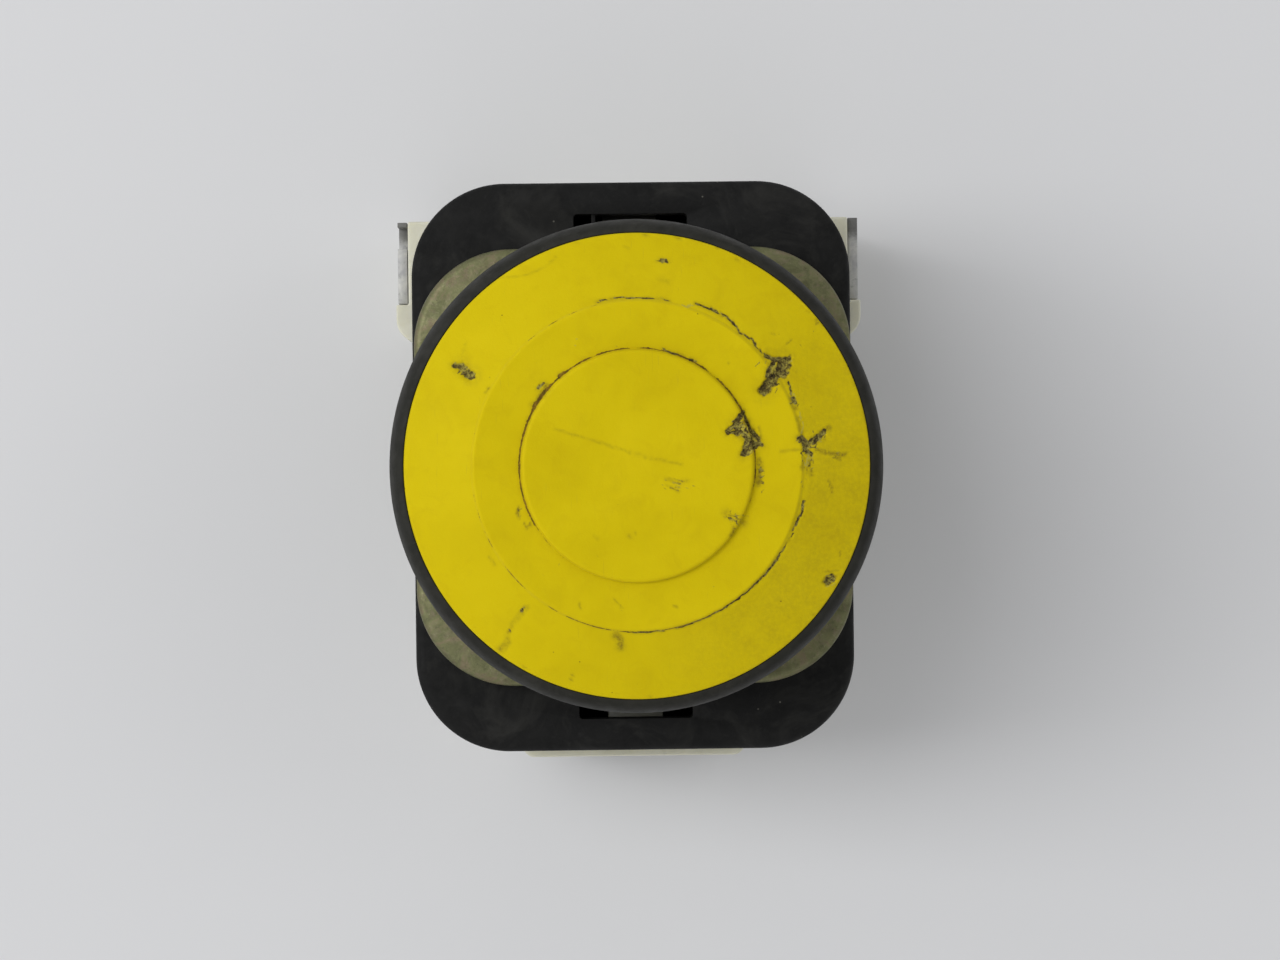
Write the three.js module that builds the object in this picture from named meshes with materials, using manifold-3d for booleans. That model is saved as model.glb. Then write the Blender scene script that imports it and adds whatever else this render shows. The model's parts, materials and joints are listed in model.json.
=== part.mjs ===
// Panel-mount emergency stop: a push-pull mushroom operator, its contact carrier and its contact block.
// Millimetres, +Z out through the head, +Y towards the two side terminals.
// The origin is on the push axis, on the rear face that the part stands on.

import * as THREE from 'three';
import { mergeVertices } from 'three/addons/utils/BufferGeometryUtils.js';
import Module from 'manifold-3d';

const wasm = await Module();
wasm.setup();

// ---------------------------------------------------------------- driving dimensions

const ROUND = 40; // sides of a large turned piece
const FINE = 16; // sides of a small turned piece
const COARSE = 12; // sides of a screw
const GAP = 0.3; // clearance between a cut piece and its neighbour
const FIT = 0.15; // radial clearance of a rod in its hole
const PAST = 1; // how far a cut runs past a face
const BITE = 0.5; // how far joined shapes run into each other

const TRAVEL = 6; // stroke of the head from out to in

// contact block: a T-shaped nylon housing, arms towards +Y
const BLOCK = { depth: 26, wall: 1.6, front: 2, corner: 1.2, topInset: 2.45, footReach: 2.1, screwRoom: 1.1 };
const ARM = { reach: 2.5, step: 1.3, flagHeight: 8.75, height: 12.75, corner: 2.4 };
const NO_POCKET = 7.2; // depth of the terminal pocket at the -Y end
const MOUTH = { inset: 1 }; // wire mouths, inside the pockets they open
const COVER = { thickness: 2, sink: 1, screwReach: 6.5, screwLength: 9, post: 2.3, screwHead: 0.9 };

// contact carrier: the black housing between the block and the operator base
const CARRIER = { width: 44, height: 57, corner: 9.4, depth: 20, wall: 2.4, face: 3, back: 2, edge: 0.8 };
const CARRIER_SCREW = { inset: 3.6, y: -14, boss: 3.4, short: 1.5 };
const FACE_OPENING = { width: 29, height: 22, corner: 4 };
const SLOT = { halfWidth: 5.7, height: 3.4, margin: 3.2, rib: 0.4, ribX: -3.7 };
const LATCH = { width: 5.6, thickness: 1.2, inset: 3, barb: 1, barbHeight: 2, bottomReach: 14, topReach: 8 };
const CATCH = { depth: 1.1, height: 2.6 };

// operator base: zinc casting with its threaded collar
const BASE = { inset: 0.35, corner: 9.7, thickness: 4.5, edge: 0.5 };
const COLLAR = { radius: 14.7, wall: 1.9, height: 10 };
const KEY = { width: 3.2, depth: 1.1 };

// clamping pieces on the collar
const GASKET = { width: 4.2, thickness: 1.2 };
const PANEL_GAP = 3;
const WASHER = { width: 4, thickness: 0.8 };
const NUT = { width: 3.8, height: 4.5, foot: 0.6, crown: 0.8, lead: 0.4 };
const NOTCH = { count: 8, width: 3, depth: 1.2 };

// stem, its guide, its wiper and its detent
const STEM_RADIUS = 4;
const STEM_THREAD = { foot: 8, head: 9 };
const BUSHING = { wall: 3, flangeWidth: 3, flange: 1.8 };
const BOOT = { wall: 0.8, neck: 1.6, neckFrom: 0.78, neckTo: 0.86 };
const WIRE = { radius: 0.7, grooveDepth: 0.9, play: 0.2, drop: 1.3, leg: 7, back: 2, side: 0.1 };
const RETAINER = { reach: 6.2, margin: 3.3, height: 13, corner: 2, thickness: 1.2, below: 0.6 };
const RETAINER_SCREW = { boss: 2.8, length: 5.8 };
const CLIP = { width: 2.2, thickness: 0.8, groove: 1, play: 0.1 };
const ACTUATOR = { width: 9, thickness: 2.5, drop: 2.2, corner: 2.5, edge: 0.4, boss: 2.5 };

// mushroom head, hollow over the ring nut
const HEAD = { nutRoom: 1.55, wall: 2.1, proud: 0.95, rim: 1.6, flat: 0.6, foot: 0.5, below: 4.5, web: 2.2 };
const HUB = { wall: 3.4, drop: 4.4 };
const RIBS = { count: 6, thickness: 1.2, drop: 1.6 };
const WELL = { margin: 1, floor: 0.8 }; // recess for the head screw
const INSERT = { rimWidth: 1.5, seat: 1.1, proud: 0.2, fall: 2.2, round: 0.5 };
const RING = { radius: 15.5, step: 0.3 };
const DISC = { radius: 10.8, step: 0.8 };
const HEAD_CLEARANCE = 2.5; // cap ceiling above the collar at full stroke

// screws: shank radius, head radius, head height
const M4 = { shank: 1.9, head: 3.6, height: 1.8 };
const M3 = { shank: 1.4, head: 2.7, height: 1.6 };
const M35 = { shank: 1.7, head: 3.2, height: 2.4 };
const SCREW = { slotWidth: 0.9, slotDepth: 0.9, point: 0.3, pointLength: 0.5, shoulder: 0.6, crown: 0.8 };
const LOCK_WASHER = 0.6;

// contact sets
const PLUNGER = { half: 2.5, flange: 4.3, flangeHeight: 1.8, windowHalf: 1.7, foot: 1, hole: 0.7 };
const NO_PLUNGER_ROOM = 4.7; // from the pocket's wall to the open set's plunger
const NC_PLUNGER_SHIFT = 0.7; // closed set's plunger below the middle of the arms
const STRIP = { thickness: 1, width: 5, tipX: 5.2 };
const FLAG = { inset: 0.15, short: 1.6, notchFrom: 2.8, notchTo: 0.5, notchDepth: 3.4 };
const TIP = { radius: 1.5, height: 0.8, movingRadius: 1.4, movingHeight: 0.5 };
const BRIDGE = { thickness: 0.8, half: 1.5, overhang: 1.8, play: 0.4 };
const CLAMP = { size: 6.4, thickness: 1, wireGap: 0.8, screw: 6 };
const CONTACT_SPRING = { length: 3.6, radius: 1.2, wire: 0.18, turns: 3 };
const RETURN_SPRING = { wire: 0.35, turns: 4, play: 0.1 };
const NO_STRIP_Z = 10.4;
const CONTACT_GAP = 0.2; // left at full stroke between the open pair that closes

// ---------------------------------------------------------------- levels along the axis

const blockFront = BLOCK.depth;
const roof = blockFront - BLOCK.front;
const carrierFront = blockFront + CARRIER.depth;
const cavityBack = blockFront + CARRIER.back;
const cavityFront = carrierFront - CARRIER.face;
const seat = carrierFront + BASE.thickness;
const gasketTop = seat + GASKET.thickness;
const washerBack = gasketTop + PANEL_GAP;
const nutBack = washerBack + WASHER.thickness;
const collarTop = seat + COLLAR.height;
const ceiling = collarTop + HEAD_CLEARANCE + TRAVEL; // underside of the cap's web
const wellFloor = ceiling + WELL.floor;
const headSeat = ceiling + HEAD.web;
const rimTop = headSeat + INSERT.seat;
const rimLevel = ceiling - 1; // middle of the cap's widest band
const skirtEnd = rimLevel - HEAD.below;
const hubEnd = ceiling - HUB.drop;
const detentLevel = carrierFront - WIRE.drop;
const retainerTop = detentLevel - WIRE.radius - RETAINER.below;
const retainerBack = retainerTop - RETAINER.thickness;
const clipBack = retainerBack - GAP - CLIP.thickness;
const actuatorTop = clipBack - ACTUATOR.drop;
const actuatorBack = actuatorTop - ACTUATOR.thickness;

// the closed pair's plunger clears the cover at full stroke, and its strip stands on what it carries
const ncFoot = COVER.thickness + GAP + TRAVEL;
const ncSpringBack = ncFoot + PLUNGER.foot;
const ncBridgeZ = ncSpringBack + CONTACT_SPRING.length;
const ncTipZ = ncBridgeZ + BRIDGE.thickness;
const ncStripZ = ncTipZ + TIP.movingHeight + TIP.height;
// the open pair's bridge hangs in front of its fixed tips, a stroke away
const noTipZ = NO_STRIP_Z + STRIP.thickness + TIP.height + TRAVEL + CONTACT_GAP;
const noBridgeZ = noTipZ + TIP.movingHeight;

// ---------------------------------------------------------------- plan positions

const baseHalf = CARRIER.width / 2 - BASE.inset;
const carrierScrewX = CARRIER.width / 2 - CARRIER.wall - CARRIER_SCREW.inset;
const barHalf = carrierScrewX - M35.head - BLOCK.screwRoom; // the T's bar passes between the carrier screws
const armSpan = CARRIER.width / 2 + ARM.reach;
const armInner = armSpan - ARM.step;
const flagOuter = armSpan - FLAG.inset;
const flagInner = armInner + FIT;
const blockTop = CARRIER.height / 2 - BLOCK.topInset;
const blockFoot = -(CARRIER.height / 2 + BLOCK.footReach);
const armBottom = blockTop - ARM.height;
const flagFoot = blockTop - ARM.flagHeight;
const pocketWall = blockFoot + BLOCK.wall + NO_POCKET;
const coverX = barHalf - BLOCK.wall;
const coverY = [pocketWall + BLOCK.wall, blockTop - BLOCK.wall];
const ncY = blockTop - ARM.height / 2 - NC_PLUNGER_SHIFT;
const noY = coverY[0] + NO_PLUNGER_ROOM;
const ncScrewX = (barHalf + armInner - BLOCK.wall) / 2;
const noScrewX = coverX - CLAMP.size / 2 - GAP;
const noScrewY = blockFoot + BLOCK.wall + NO_POCKET / 2;
const coverScrewReach = BRIDGE.half + COVER.screwReach;
const coverScrewY = [ncY - coverScrewReach, noY + coverScrewReach];
const slotOuter = CARRIER.height / 2 - SLOT.margin;
const latchY = CARRIER.height / 2 - LATCH.inset - LATCH.thickness / 2;
const retainerScrewX = STEM_RADIUS + RETAINER.reach;
const hairpinHalf = STEM_RADIUS - WIRE.grooveDepth + WIRE.radius + WIRE.side;

// radii of the pieces that nest round the axis
const guideRadius = STEM_RADIUS + FIT + BUSHING.wall;
const nutOuter = COLLAR.radius + FIT + NUT.width;
const skirtInner = nutOuter + HEAD.nutRoom;
const skirtRadius = skirtInner + HEAD.wall;
const headRadius = skirtRadius + HEAD.proud;
const insertRadius = headRadius - INSERT.rimWidth;
const hubRadius = STEM_RADIUS + FIT + HUB.wall;
const wellRadius = M4.head + WELL.margin;

// ---------------------------------------------------------------- materials

const look = (color, roughness, metalness) => new THREE.MeshStandardMaterial({ color, roughness, metalness });
const yellowPlastic = look(0xc6b210, 0.42, 0);
const headPlastic = look(0x30302a, 0.55, 0);
const carrierPlastic = look(0x242425, 0.6, 0);
const naturalNylon = look(0xb9b79c, 0.5, 0);
const whiteNylon = look(0xd8d6c8, 0.5, 0);
const chromatedZinc = look(0x6a6c56, 0.5, 0.8);
const platedSteel = look(0x9a9b98, 0.35, 1);
const brass = look(0xb39a5c, 0.35, 1);
const silver = look(0xc9c9c6, 0.3, 1);
const blackRubber = look(0x1d1d1d, 0.85, 0);
const springSteel = look(0x8e8f90, 0.3, 1);

// ---------------------------------------------------------------- shape helpers

function clean(geometry) {
  const bare = geometry.clone();
  bare.deleteAttribute('normal');
  bare.deleteAttribute('uv');
  const merged = mergeVertices(bare, 1e-4);
  const place = merged.attributes.position.array;
  const corners = Array.from(merged.index.array);
  const kept = [];
  let volume = 0;
  const a = new THREE.Vector3();
  const b = new THREE.Vector3();
  const c = new THREE.Vector3();
  for (let i = 0; i < corners.length; i += 3) {
    const [p, q, r] = corners.slice(i, i + 3);
    if (p === q || q === r || r === p) continue;
    kept.push(p, q, r);
    a.fromArray(place, 3 * p);
    b.fromArray(place, 3 * q);
    c.fromArray(place, 3 * r);
    volume += a.dot(b.cross(c));
  }
  if (volume < 0) kept.reverse();
  merged.setIndex(kept);
  return merged;
}

function toSolid(geometry) {
  const tidy = clean(geometry);
  return new wasm.Manifold(new wasm.Mesh({
    numProp: 3,
    vertProperties: new Float32Array(tidy.attributes.position.array),
    triVerts: new Uint32Array(tidy.index.array),
  }));
}

function toGeometry(solid) {
  const mesh = solid.getMesh();
  const geometry = new THREE.BufferGeometry();
  geometry.setAttribute('position', new THREE.BufferAttribute(new Float32Array(mesh.vertProperties), 3));
  geometry.setIndex(new THREE.BufferAttribute(new Uint32Array(mesh.triVerts), 1));
  return geometry;
}

const join = (first, ...rest) => (
  toGeometry(rest.reduce((sum, g) => sum.add(toSolid(g)), toSolid(first)))
);
const cut = (first, ...rest) => (
  toGeometry(rest.reduce((left, g) => left.subtract(toSolid(g)), toSolid(first)))
);

// a solid of revolution about Z from [radius, z] points; the outline is closed here
function turned(points, sides = ROUND) {
  const outline = points.map(([r, z]) => new THREE.Vector2(r, z));
  outline.push(outline[0].clone());
  const geometry = new THREE.LatheGeometry(outline, sides);
  geometry.rotateX(Math.PI / 2);
  return geometry;
}

const rod = (r, z0, z1, sides = FINE) => turned([[0, z0], [r, z0], [r, z1], [0, z1]], sides);
const ring = (inner, outer, z0, z1, sides = ROUND) => (
  turned([[inner, z0], [outer, z0], [outer, z1], [inner, z1]], sides)
);

function roundedRect(width, height, radius, x = 0, y = 0) {
  const shape = new THREE.Shape();
  const [w, h] = [width / 2, height / 2];
  shape.moveTo(x + w - radius, y - h);
  shape.absarc(x + w - radius, y - h + radius, radius, -Math.PI / 2, 0);
  shape.absarc(x + w - radius, y + h - radius, radius, 0, Math.PI / 2);
  shape.absarc(x - w + radius, y + h - radius, radius, Math.PI / 2, Math.PI);
  shape.absarc(x - w + radius, y - h + radius, radius, Math.PI, 1.5 * Math.PI);
  return shape;
}

function plate(shape, z0, z1, bevel = 0, curveSegments = 8) {
  const geometry = new THREE.ExtrudeGeometry(shape, {
    depth: z1 - z0 - 2 * bevel,
    curveSegments,
    bevelEnabled: bevel > 0,
    bevelThickness: bevel,
    bevelSize: bevel,
    bevelOffset: -bevel,
    bevelSegments: 1,
  });
  geometry.translate(0, 0, z0 + bevel);
  return geometry;
}

function box(x0, x1, y0, y1, z0, z1) {
  const geometry = new THREE.BoxGeometry(x1 - x0, y1 - y0, z1 - z0);
  geometry.translate((x0 + x1) / 2, (y0 + y1) / 2, (z0 + z1) / 2);
  return geometry;
}

const moved = (geometry, x, y, z = 0) => geometry.translate(x, y, z);

class Helix extends THREE.Curve {
  constructor(radius, z0, z1, turns) {
    super();
    Object.assign(this, { radius, z0, z1, turns });
  }

  getPoint(t, target = new THREE.Vector3()) {
    const angle = 2 * Math.PI * this.turns * t;
    const z = this.z0 + (this.z1 - this.z0) * t;
    return target.set(this.radius * Math.cos(angle), this.radius * Math.sin(angle), z);
  }
}

function wireAlong(path, radius, steps, sides = 6) {
  const section = new THREE.Shape();
  for (let i = 0; i < sides; i += 1) {
    const angle = (2 * Math.PI * i) / sides;
    const point = [radius * Math.cos(angle), radius * Math.sin(angle)];
    if (i === 0) section.moveTo(...point);
    else section.lineTo(...point);
  }
  section.closePath();
  return new THREE.ExtrudeGeometry(section, { steps, extrudePath: path, bevelEnabled: false });
}

const coil = ({ radius, wire, turns }, z0, z1) => (
  wireAlong(new Helix(radius, z0 + wire, z1 - wire, turns), wire, turns * 8, 5)
);

// a slotted screw with its head's underside at z = 0, head towards +Z and shank towards -Z
function screw({ shank, head, height }, length) {
  const body = turned([
    [0, -length], [shank - SCREW.point, -length], [shank, -length + SCREW.pointLength], [shank, 0], [head, 0],
    [head, height * SCREW.shoulder], [head * SCREW.crown, height], [0, height],
  ], COARSE);
  const slotHalf = SCREW.slotWidth / 2;
  return cut(body, box(-head, head, -slotHalf, slotHalf, height - SCREW.slotDepth, height + PAST));
}

const flipped = (geometry) => geometry.rotateX(Math.PI);

// a clearance hole for a screw, from z0 to z1 and past both
const bore = (shank, z0, z1, x = 0, y = 0) => moved(rod(shank + FIT, z0 - PAST, z1 + PAST), x, y);

const span = (p, q) => [Math.min(p, q), Math.max(p, q)];

const assembly = new THREE.Group();

function piece(name, geometry, material, x = 0, y = 0, z = 0) {
  const mesh = new THREE.Mesh(clean(geometry), material);
  mesh.name = name;
  mesh.position.set(x, y, z);
  assembly.add(mesh);
  return mesh;
}

// the two sides of a mirrored pair
const SIDES = [['left', -1], ['right', 1]];

// ---------------------------------------------------------------- mushroom head

function headCap() {
  const { flat, rim, foot } = HEAD;
  const skirt = [[skirtInner, skirtEnd], [skirtRadius - foot, skirtEnd], [skirtRadius, skirtEnd + foot]];
  const edge = [[headRadius, rimLevel - flat], [headRadius, rimLevel + flat]];
  for (let i = 1; i <= 4; i += 1) {
    const angle = (i / 4) * (Math.PI / 2);
    const shoulder = headRadius - rim + rim * Math.cos(angle);
    const height = rimLevel + flat + (rimTop - rimLevel - flat) * Math.sin(angle);
    edge.push([Math.max(shoulder, insertRadius + FIT), height]);
  }
  const dish = [[insertRadius + FIT, headSeat], [wellRadius, headSeat], [wellRadius, wellFloor]];
  const hole = [[M4.shank + FIT, wellFloor], [M4.shank + FIT, ceiling]];
  const socket = STEM_RADIUS + FIT;
  const hub = [[socket, ceiling], [socket, hubEnd], [hubRadius, hubEnd], [hubRadius, ceiling]];
  const shell = turned([...skirt, ...edge, ...dish, ...hole, ...hub, [skirtInner, ceiling]]);
  const ribs = [];
  for (let i = 0; i < RIBS.count; i += 1) {
    const rib = box(hubRadius - BITE, skirtInner + BITE, -RIBS.thickness / 2, RIBS.thickness / 2,
      ceiling - RIBS.drop, ceiling + HEAD.web / 2);
    ribs.push(rib.rotateZ((2 * Math.PI * i) / RIBS.count));
  }
  return join(shell, ...ribs);
}

// the insert has two steps: a ring's low one and a centre disc's with a rounded edge
function headInsert() {
  const { round } = INSERT;
  const edgeTop = rimTop + INSERT.proud;
  const ringFoot = edgeTop + INSERT.fall;
  const middle = ringFoot + RING.step;
  const top = middle + DISC.step;
  const pocketRoof = wellFloor + LOCK_WASHER + M4.height + GAP;
  const edge = [];
  for (let i = 0; i <= 2; i += 1) {
    const angle = (i / 2) * (Math.PI / 2);
    edge.push([DISC.radius - round * (1 - Math.cos(angle)), top - round * (1 - Math.sin(angle))]);
  }
  return turned([
    [0, pocketRoof], [wellRadius, pocketRoof], [wellRadius, headSeat], [insertRadius, headSeat],
    [insertRadius, edgeTop - round], [insertRadius - round, edgeTop],
    [RING.radius, ringFoot], [RING.radius - RING.step, middle], [DISC.radius, middle], ...edge, [0, top],
  ]);
}

function stem() {
  const deep = STEM_RADIUS - WIRE.grooveDepth;
  const half = WIRE.radius + WIRE.play;
  const flank = WIRE.grooveDepth * Math.tan(Math.PI / 6);
  const groove = (z) => [
    [STEM_RADIUS, z - half - flank], [deep, z - half], [deep, z + half], [STEM_RADIUS, z + half + flank],
  ];
  const clipFloor = STEM_RADIUS - CLIP.groove;
  const [clipFrom, clipTo] = [clipBack - CLIP.play, clipBack + CLIP.thickness + CLIP.play];
  const threadHole = M4.shank + FIT;
  return turned([
    [0, actuatorTop + STEM_THREAD.foot], [threadHole, actuatorTop + STEM_THREAD.foot],
    [threadHole, actuatorTop], [STEM_RADIUS, actuatorTop], [STEM_RADIUS, clipFrom],
    [clipFloor, clipFrom], [clipFloor, clipTo], [STEM_RADIUS, clipTo],
    ...groove(detentLevel), ...groove(detentLevel + TRAVEL), [STEM_RADIUS, ceiling],
    [threadHole, ceiling], [threadHole, ceiling - STEM_THREAD.head], [0, ceiling - STEM_THREAD.head],
  ], FINE);
}

// an E-shaped clip, open towards +X
function stemClip() {
  const inner = STEM_RADIUS - CLIP.groove + CLIP.play;
  const outline = new THREE.Shape();
  const open = Math.PI / 5;
  outline.absarc(0, 0, inner + CLIP.width, open, 2 * Math.PI - open);
  outline.absarc(0, 0, inner, 2 * Math.PI - open, open, true);
  outline.closePath();
  return plate(outline, 0, CLIP.thickness, 0, 10);
}

function actuatorPlate() {
  const top = ncY + PLUNGER.flange;
  const bottom = noY - PLUNGER.flange;
  const outline = roundedRect(ACTUATOR.width, top - bottom, ACTUATOR.corner, 0, (top + bottom) / 2);
  const bar = plate(outline, actuatorBack, actuatorTop, ACTUATOR.edge, 4);
  const boss = rod(STEM_RADIUS + ACTUATOR.boss, actuatorBack, actuatorTop);
  return cut(join(bar, boss), bore(M4.shank, actuatorBack, actuatorTop));
}

piece('head_cap', headCap(), headPlastic);
piece('head_insert', headInsert(), yellowPlastic);
piece('head_screw', screw(M4, STEM_THREAD.head - 1), platedSteel, 0, 0, wellFloor + LOCK_WASHER);
piece('head_lock_washer', ring(M4.shank + FIT, M4.head + GAP, 0, LOCK_WASHER, FINE), springSteel,
  0, 0, wellFloor);
piece('stem', stem(), platedSteel);
piece('stem_clip', stemClip(), springSteel, 0, 0, clipBack);
piece('actuator_plate', actuatorPlate(), whiteNylon);
piece('actuator_screw', flipped(screw(M4, STEM_THREAD.foot + 1)), platedSteel, 0, 0, actuatorBack);

// ---------------------------------------------------------------- operator base and what clamps on it

function operatorBase() {
  const side = 2 * baseHalf;
  const flange = plate(roundedRect(side, side, BASE.corner), carrierFront, seat, BASE.edge, 8);
  const collar = rod(COLLAR.radius, carrierFront + BASE.edge + BITE, collarTop, ROUND);
  const well = rod(COLLAR.radius - COLLAR.wall, seat, collarTop + PAST, ROUND);
  const guide = rod(guideRadius + FIT, carrierFront - PAST, seat + PAST);
  const key = box(-KEY.width / 2, KEY.width / 2, COLLAR.radius - KEY.depth, COLLAR.radius + PAST,
    seat, collarTop + PAST);
  const threads = SIDES.flatMap(([, sign]) => [
    bore(M3.shank, carrierFront, seat - 2 * PAST, sign * retainerScrewX, 0),
    bore(M35.shank, carrierFront, seat - 2 * PAST, sign * carrierScrewX, CARRIER_SCREW.y),
  ]);
  return cut(join(flange, collar), well, guide, key, ...threads);
}

function guideBushing() {
  const inner = STEM_RADIUS + FIT;
  const flange = guideRadius + BUSHING.flangeWidth;
  return turned([
    [inner, carrierFront + GAP], [guideRadius, carrierFront + GAP], [guideRadius, seat], [flange, seat],
    [flange, seat + BUSHING.flange], [inner, seat + BUSHING.flange],
  ], FINE);
}

// a rubber bellows between the base's bore and the stem, under the head's hub
function wiperBoot() {
  const { wall } = BOOT;
  const outside = COLLAR.radius - COLLAR.wall - FIT;
  const flange = guideRadius + BUSHING.flangeWidth + FIT;
  const socket = STEM_RADIUS + FIT;
  const foot = seat + BUSHING.flange + FIT;
  const rise = hubEnd - GAP - foot;
  const crest = outside - wall;
  const folds = [[crest - 0.6, 0.2], [crest, 0.38], [crest - 3.2, 0.52], [crest - 1, 0.68]];
  const outer = folds.map(([r, share]) => [r + wall, foot + share * rise]);
  const inner = folds.map(([r, share]) => [r, foot + share * rise - wall / 3]).reverse();
  const neck = socket + BOOT.neck;
  return turned([
    [flange, seat], [outside, seat], [outside, foot + wall / 2], ...outer, [neck, foot + BOOT.neckTo * rise],
    [neck, foot + rise], [socket, foot + rise], [socket, foot + BOOT.neckFrom * rise], ...inner,
    [flange, foot + wall / 4],
  ], FINE);
}

function trimWasher() {
  const inner = COLLAR.radius + FIT;
  const flat = ring(inner, inner + WASHER.width, washerBack, nutBack);
  const tab = box(-KEY.width / 2 + FIT, KEY.width / 2 - FIT, COLLAR.radius - KEY.depth + FIT, inner + BITE,
    washerBack, nutBack);
  return join(flat, tab);
}

function ringNut() {
  const inner = COLLAR.radius + FIT;
  const top = nutBack + NUT.height;
  const body = turned([
    [inner, nutBack], [nutOuter - NUT.foot, nutBack], [nutOuter, nutBack + NUT.foot],
    [nutOuter, top - NUT.crown], [nutOuter - NUT.crown, top],
    [inner + NUT.lead, top], [inner, top - NUT.lead],
  ]);
  const notches = [];
  for (let i = 0; i < NOTCH.count; i += 1) {
    const notch = box(nutOuter - NOTCH.depth, nutOuter + PAST, -NOTCH.width / 2, NOTCH.width / 2,
      nutBack - PAST, top + PAST);
    notches.push(notch.rotateZ((2 * Math.PI * (i + 0.5)) / NOTCH.count));
  }
  return cut(body, ...notches);
}

// hairpin: two legs along Y beside the stem, joined by a bow at +Y
class Hairpin extends THREE.Curve {
  constructor(half, leg) {
    super();
    Object.assign(this, { half, leg });
  }

  getPoint(t, target = new THREE.Vector3()) {
    const bow = Math.PI * this.half;
    const length = 4 * this.leg + bow;
    const s = t * length;
    if (s <= 2 * this.leg) return target.set(this.half, s - this.leg, 0);
    if (s >= 2 * this.leg + bow) return target.set(-this.half, this.leg - (s - 2 * this.leg - bow), 0);
    const angle = (s - 2 * this.leg) / this.half;
    return target.set(this.half * Math.cos(angle), this.leg + this.half * Math.sin(angle), 0);
  }
}

function detentRetainer() {
  const width = 2 * (retainerScrewX + RETAINER.margin);
  const tray = plate(roundedRect(width, RETAINER.height, RETAINER.corner), retainerBack, retainerTop, 0, 4);
  const hole = rod(STEM_RADIUS + 2 * GAP, retainerBack - PAST, retainerTop + PAST);
  const bosses = SIDES.map(([, sign]) => (
    moved(rod(RETAINER_SCREW.boss, retainerBack, carrierFront), sign * retainerScrewX, 0)
  ));
  const bores = SIDES.map(([, sign]) => bore(M3.shank, retainerBack, carrierFront, sign * retainerScrewX));
  return cut(join(tray, ...bosses), hole, ...bores);
}

piece('operator_base', operatorBase(), chromatedZinc);
piece('guide_bushing', guideBushing(), whiteNylon);
piece('panel_gasket', ring(COLLAR.radius + FIT, COLLAR.radius + GASKET.width, seat, gasketTop), blackRubber);
piece('trim_washer', trimWasher(), platedSteel);
piece('ring_nut', ringNut(), chromatedZinc);
piece('wiper_boot', wiperBoot(), blackRubber);
piece('detent_spring', wireAlong(new Hairpin(hairpinHalf, WIRE.leg), WIRE.radius, 24, 6), springSteel,
  0, -WIRE.back, detentLevel);
piece('detent_retainer', detentRetainer(), platedSteel);
for (const [side, sign] of SIDES) {
  piece(`retainer_screw_${side}`, flipped(screw(M3, RETAINER_SCREW.length)), platedSteel,
    sign * retainerScrewX, 0, retainerBack);
}

// ---------------------------------------------------------------- contact carrier

function contactCarrier() {
  const { width, height, corner, wall, edge } = CARRIER;
  const outside = plate(roundedRect(width, height, corner), cavityBack, carrierFront, edge, 8);
  const cavity = plate(
    roundedRect(width - 2 * wall, height - 2 * wall, corner - wall), cavityBack - PAST, cavityFront, 0, 6,
  );
  const opening = plate(
    roundedRect(FACE_OPENING.width, FACE_OPENING.height, FACE_OPENING.corner),
    cavityFront - PAST, carrierFront + PAST, 0, 4,
  );
  const slots = [1, -1].map((sign) => (
    box(-SLOT.halfWidth, SLOT.halfWidth, ...span(sign * (slotOuter - SLOT.height), sign * slotOuter),
      cavityFront - PAST, carrierFront + PAST)
  ));
  const rib = box(SLOT.ribX - SLOT.rib / 2, SLOT.ribX + SLOT.rib / 2, slotOuter - SLOT.height - BITE,
    slotOuter + BITE, cavityFront, carrierFront - SLOT.rib);
  const bosses = SIDES.map(([, sign]) => (
    moved(rod(CARRIER_SCREW.boss, cavityBack, cavityFront + BITE), sign * carrierScrewX, CARRIER_SCREW.y)
  ));
  const bores = SIDES.map(([, sign]) => (
    bore(M35.shank, cavityBack, carrierFront, sign * carrierScrewX, CARRIER_SCREW.y)
  ));
  const catches = [['topReach', 1], ['bottomReach', -1]].map(([reach, sign]) => {
    const tip = cavityBack + LATCH[reach];
    const inside = height / 2 - wall;
    const half = LATCH.width / 2 + GAP;
    return box(-half, half, ...span(sign * (inside - GAP), sign * (inside + CATCH.depth + GAP)),
      tip - CATCH.height, tip + GAP);
  });
  return cut(join(cut(outside, cavity, opening, ...slots), rib, ...bosses), ...bores, ...catches);
}

function carrierBackPlate() {
  const { width, height, corner } = CARRIER;
  const sheet = plate(roundedRect(width, height, corner), blockFront, cavityBack, 0, 8);
  const holes = [ncY, noY].map((y) => (
    moved(rod(PLUNGER.flange + PLUNGER.hole, blockFront - PAST, cavityBack + PAST), 0, y)
  ));
  const bores = SIDES.map(([, sign]) => (
    bore(M35.shank, blockFront, cavityBack, sign * carrierScrewX, CARRIER_SCREW.y)
  ));
  const half = LATCH.width / 2 + GAP;
  const reach = LATCH.thickness / 2 + GAP;
  const gates = [1, -1].map((sign) => (
    box(-half, half, sign * latchY - reach, sign * latchY + reach, blockFront - PAST, cavityBack + PAST)
  ));
  return cut(sheet, ...holes, ...bores, ...gates);
}

piece('contact_carrier', contactCarrier(), carrierPlastic);
piece('carrier_back_plate', carrierBackPlate(), carrierPlastic);
for (const [side, sign] of SIDES) {
  const length = carrierFront - blockFront + BASE.thickness - CARRIER_SCREW.short;
  piece(`carrier_screw_${side}`, flipped(screw(M35, length)), platedSteel,
    sign * carrierScrewX, CARRIER_SCREW.y, blockFront);
}

// ---------------------------------------------------------------- contact block

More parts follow.
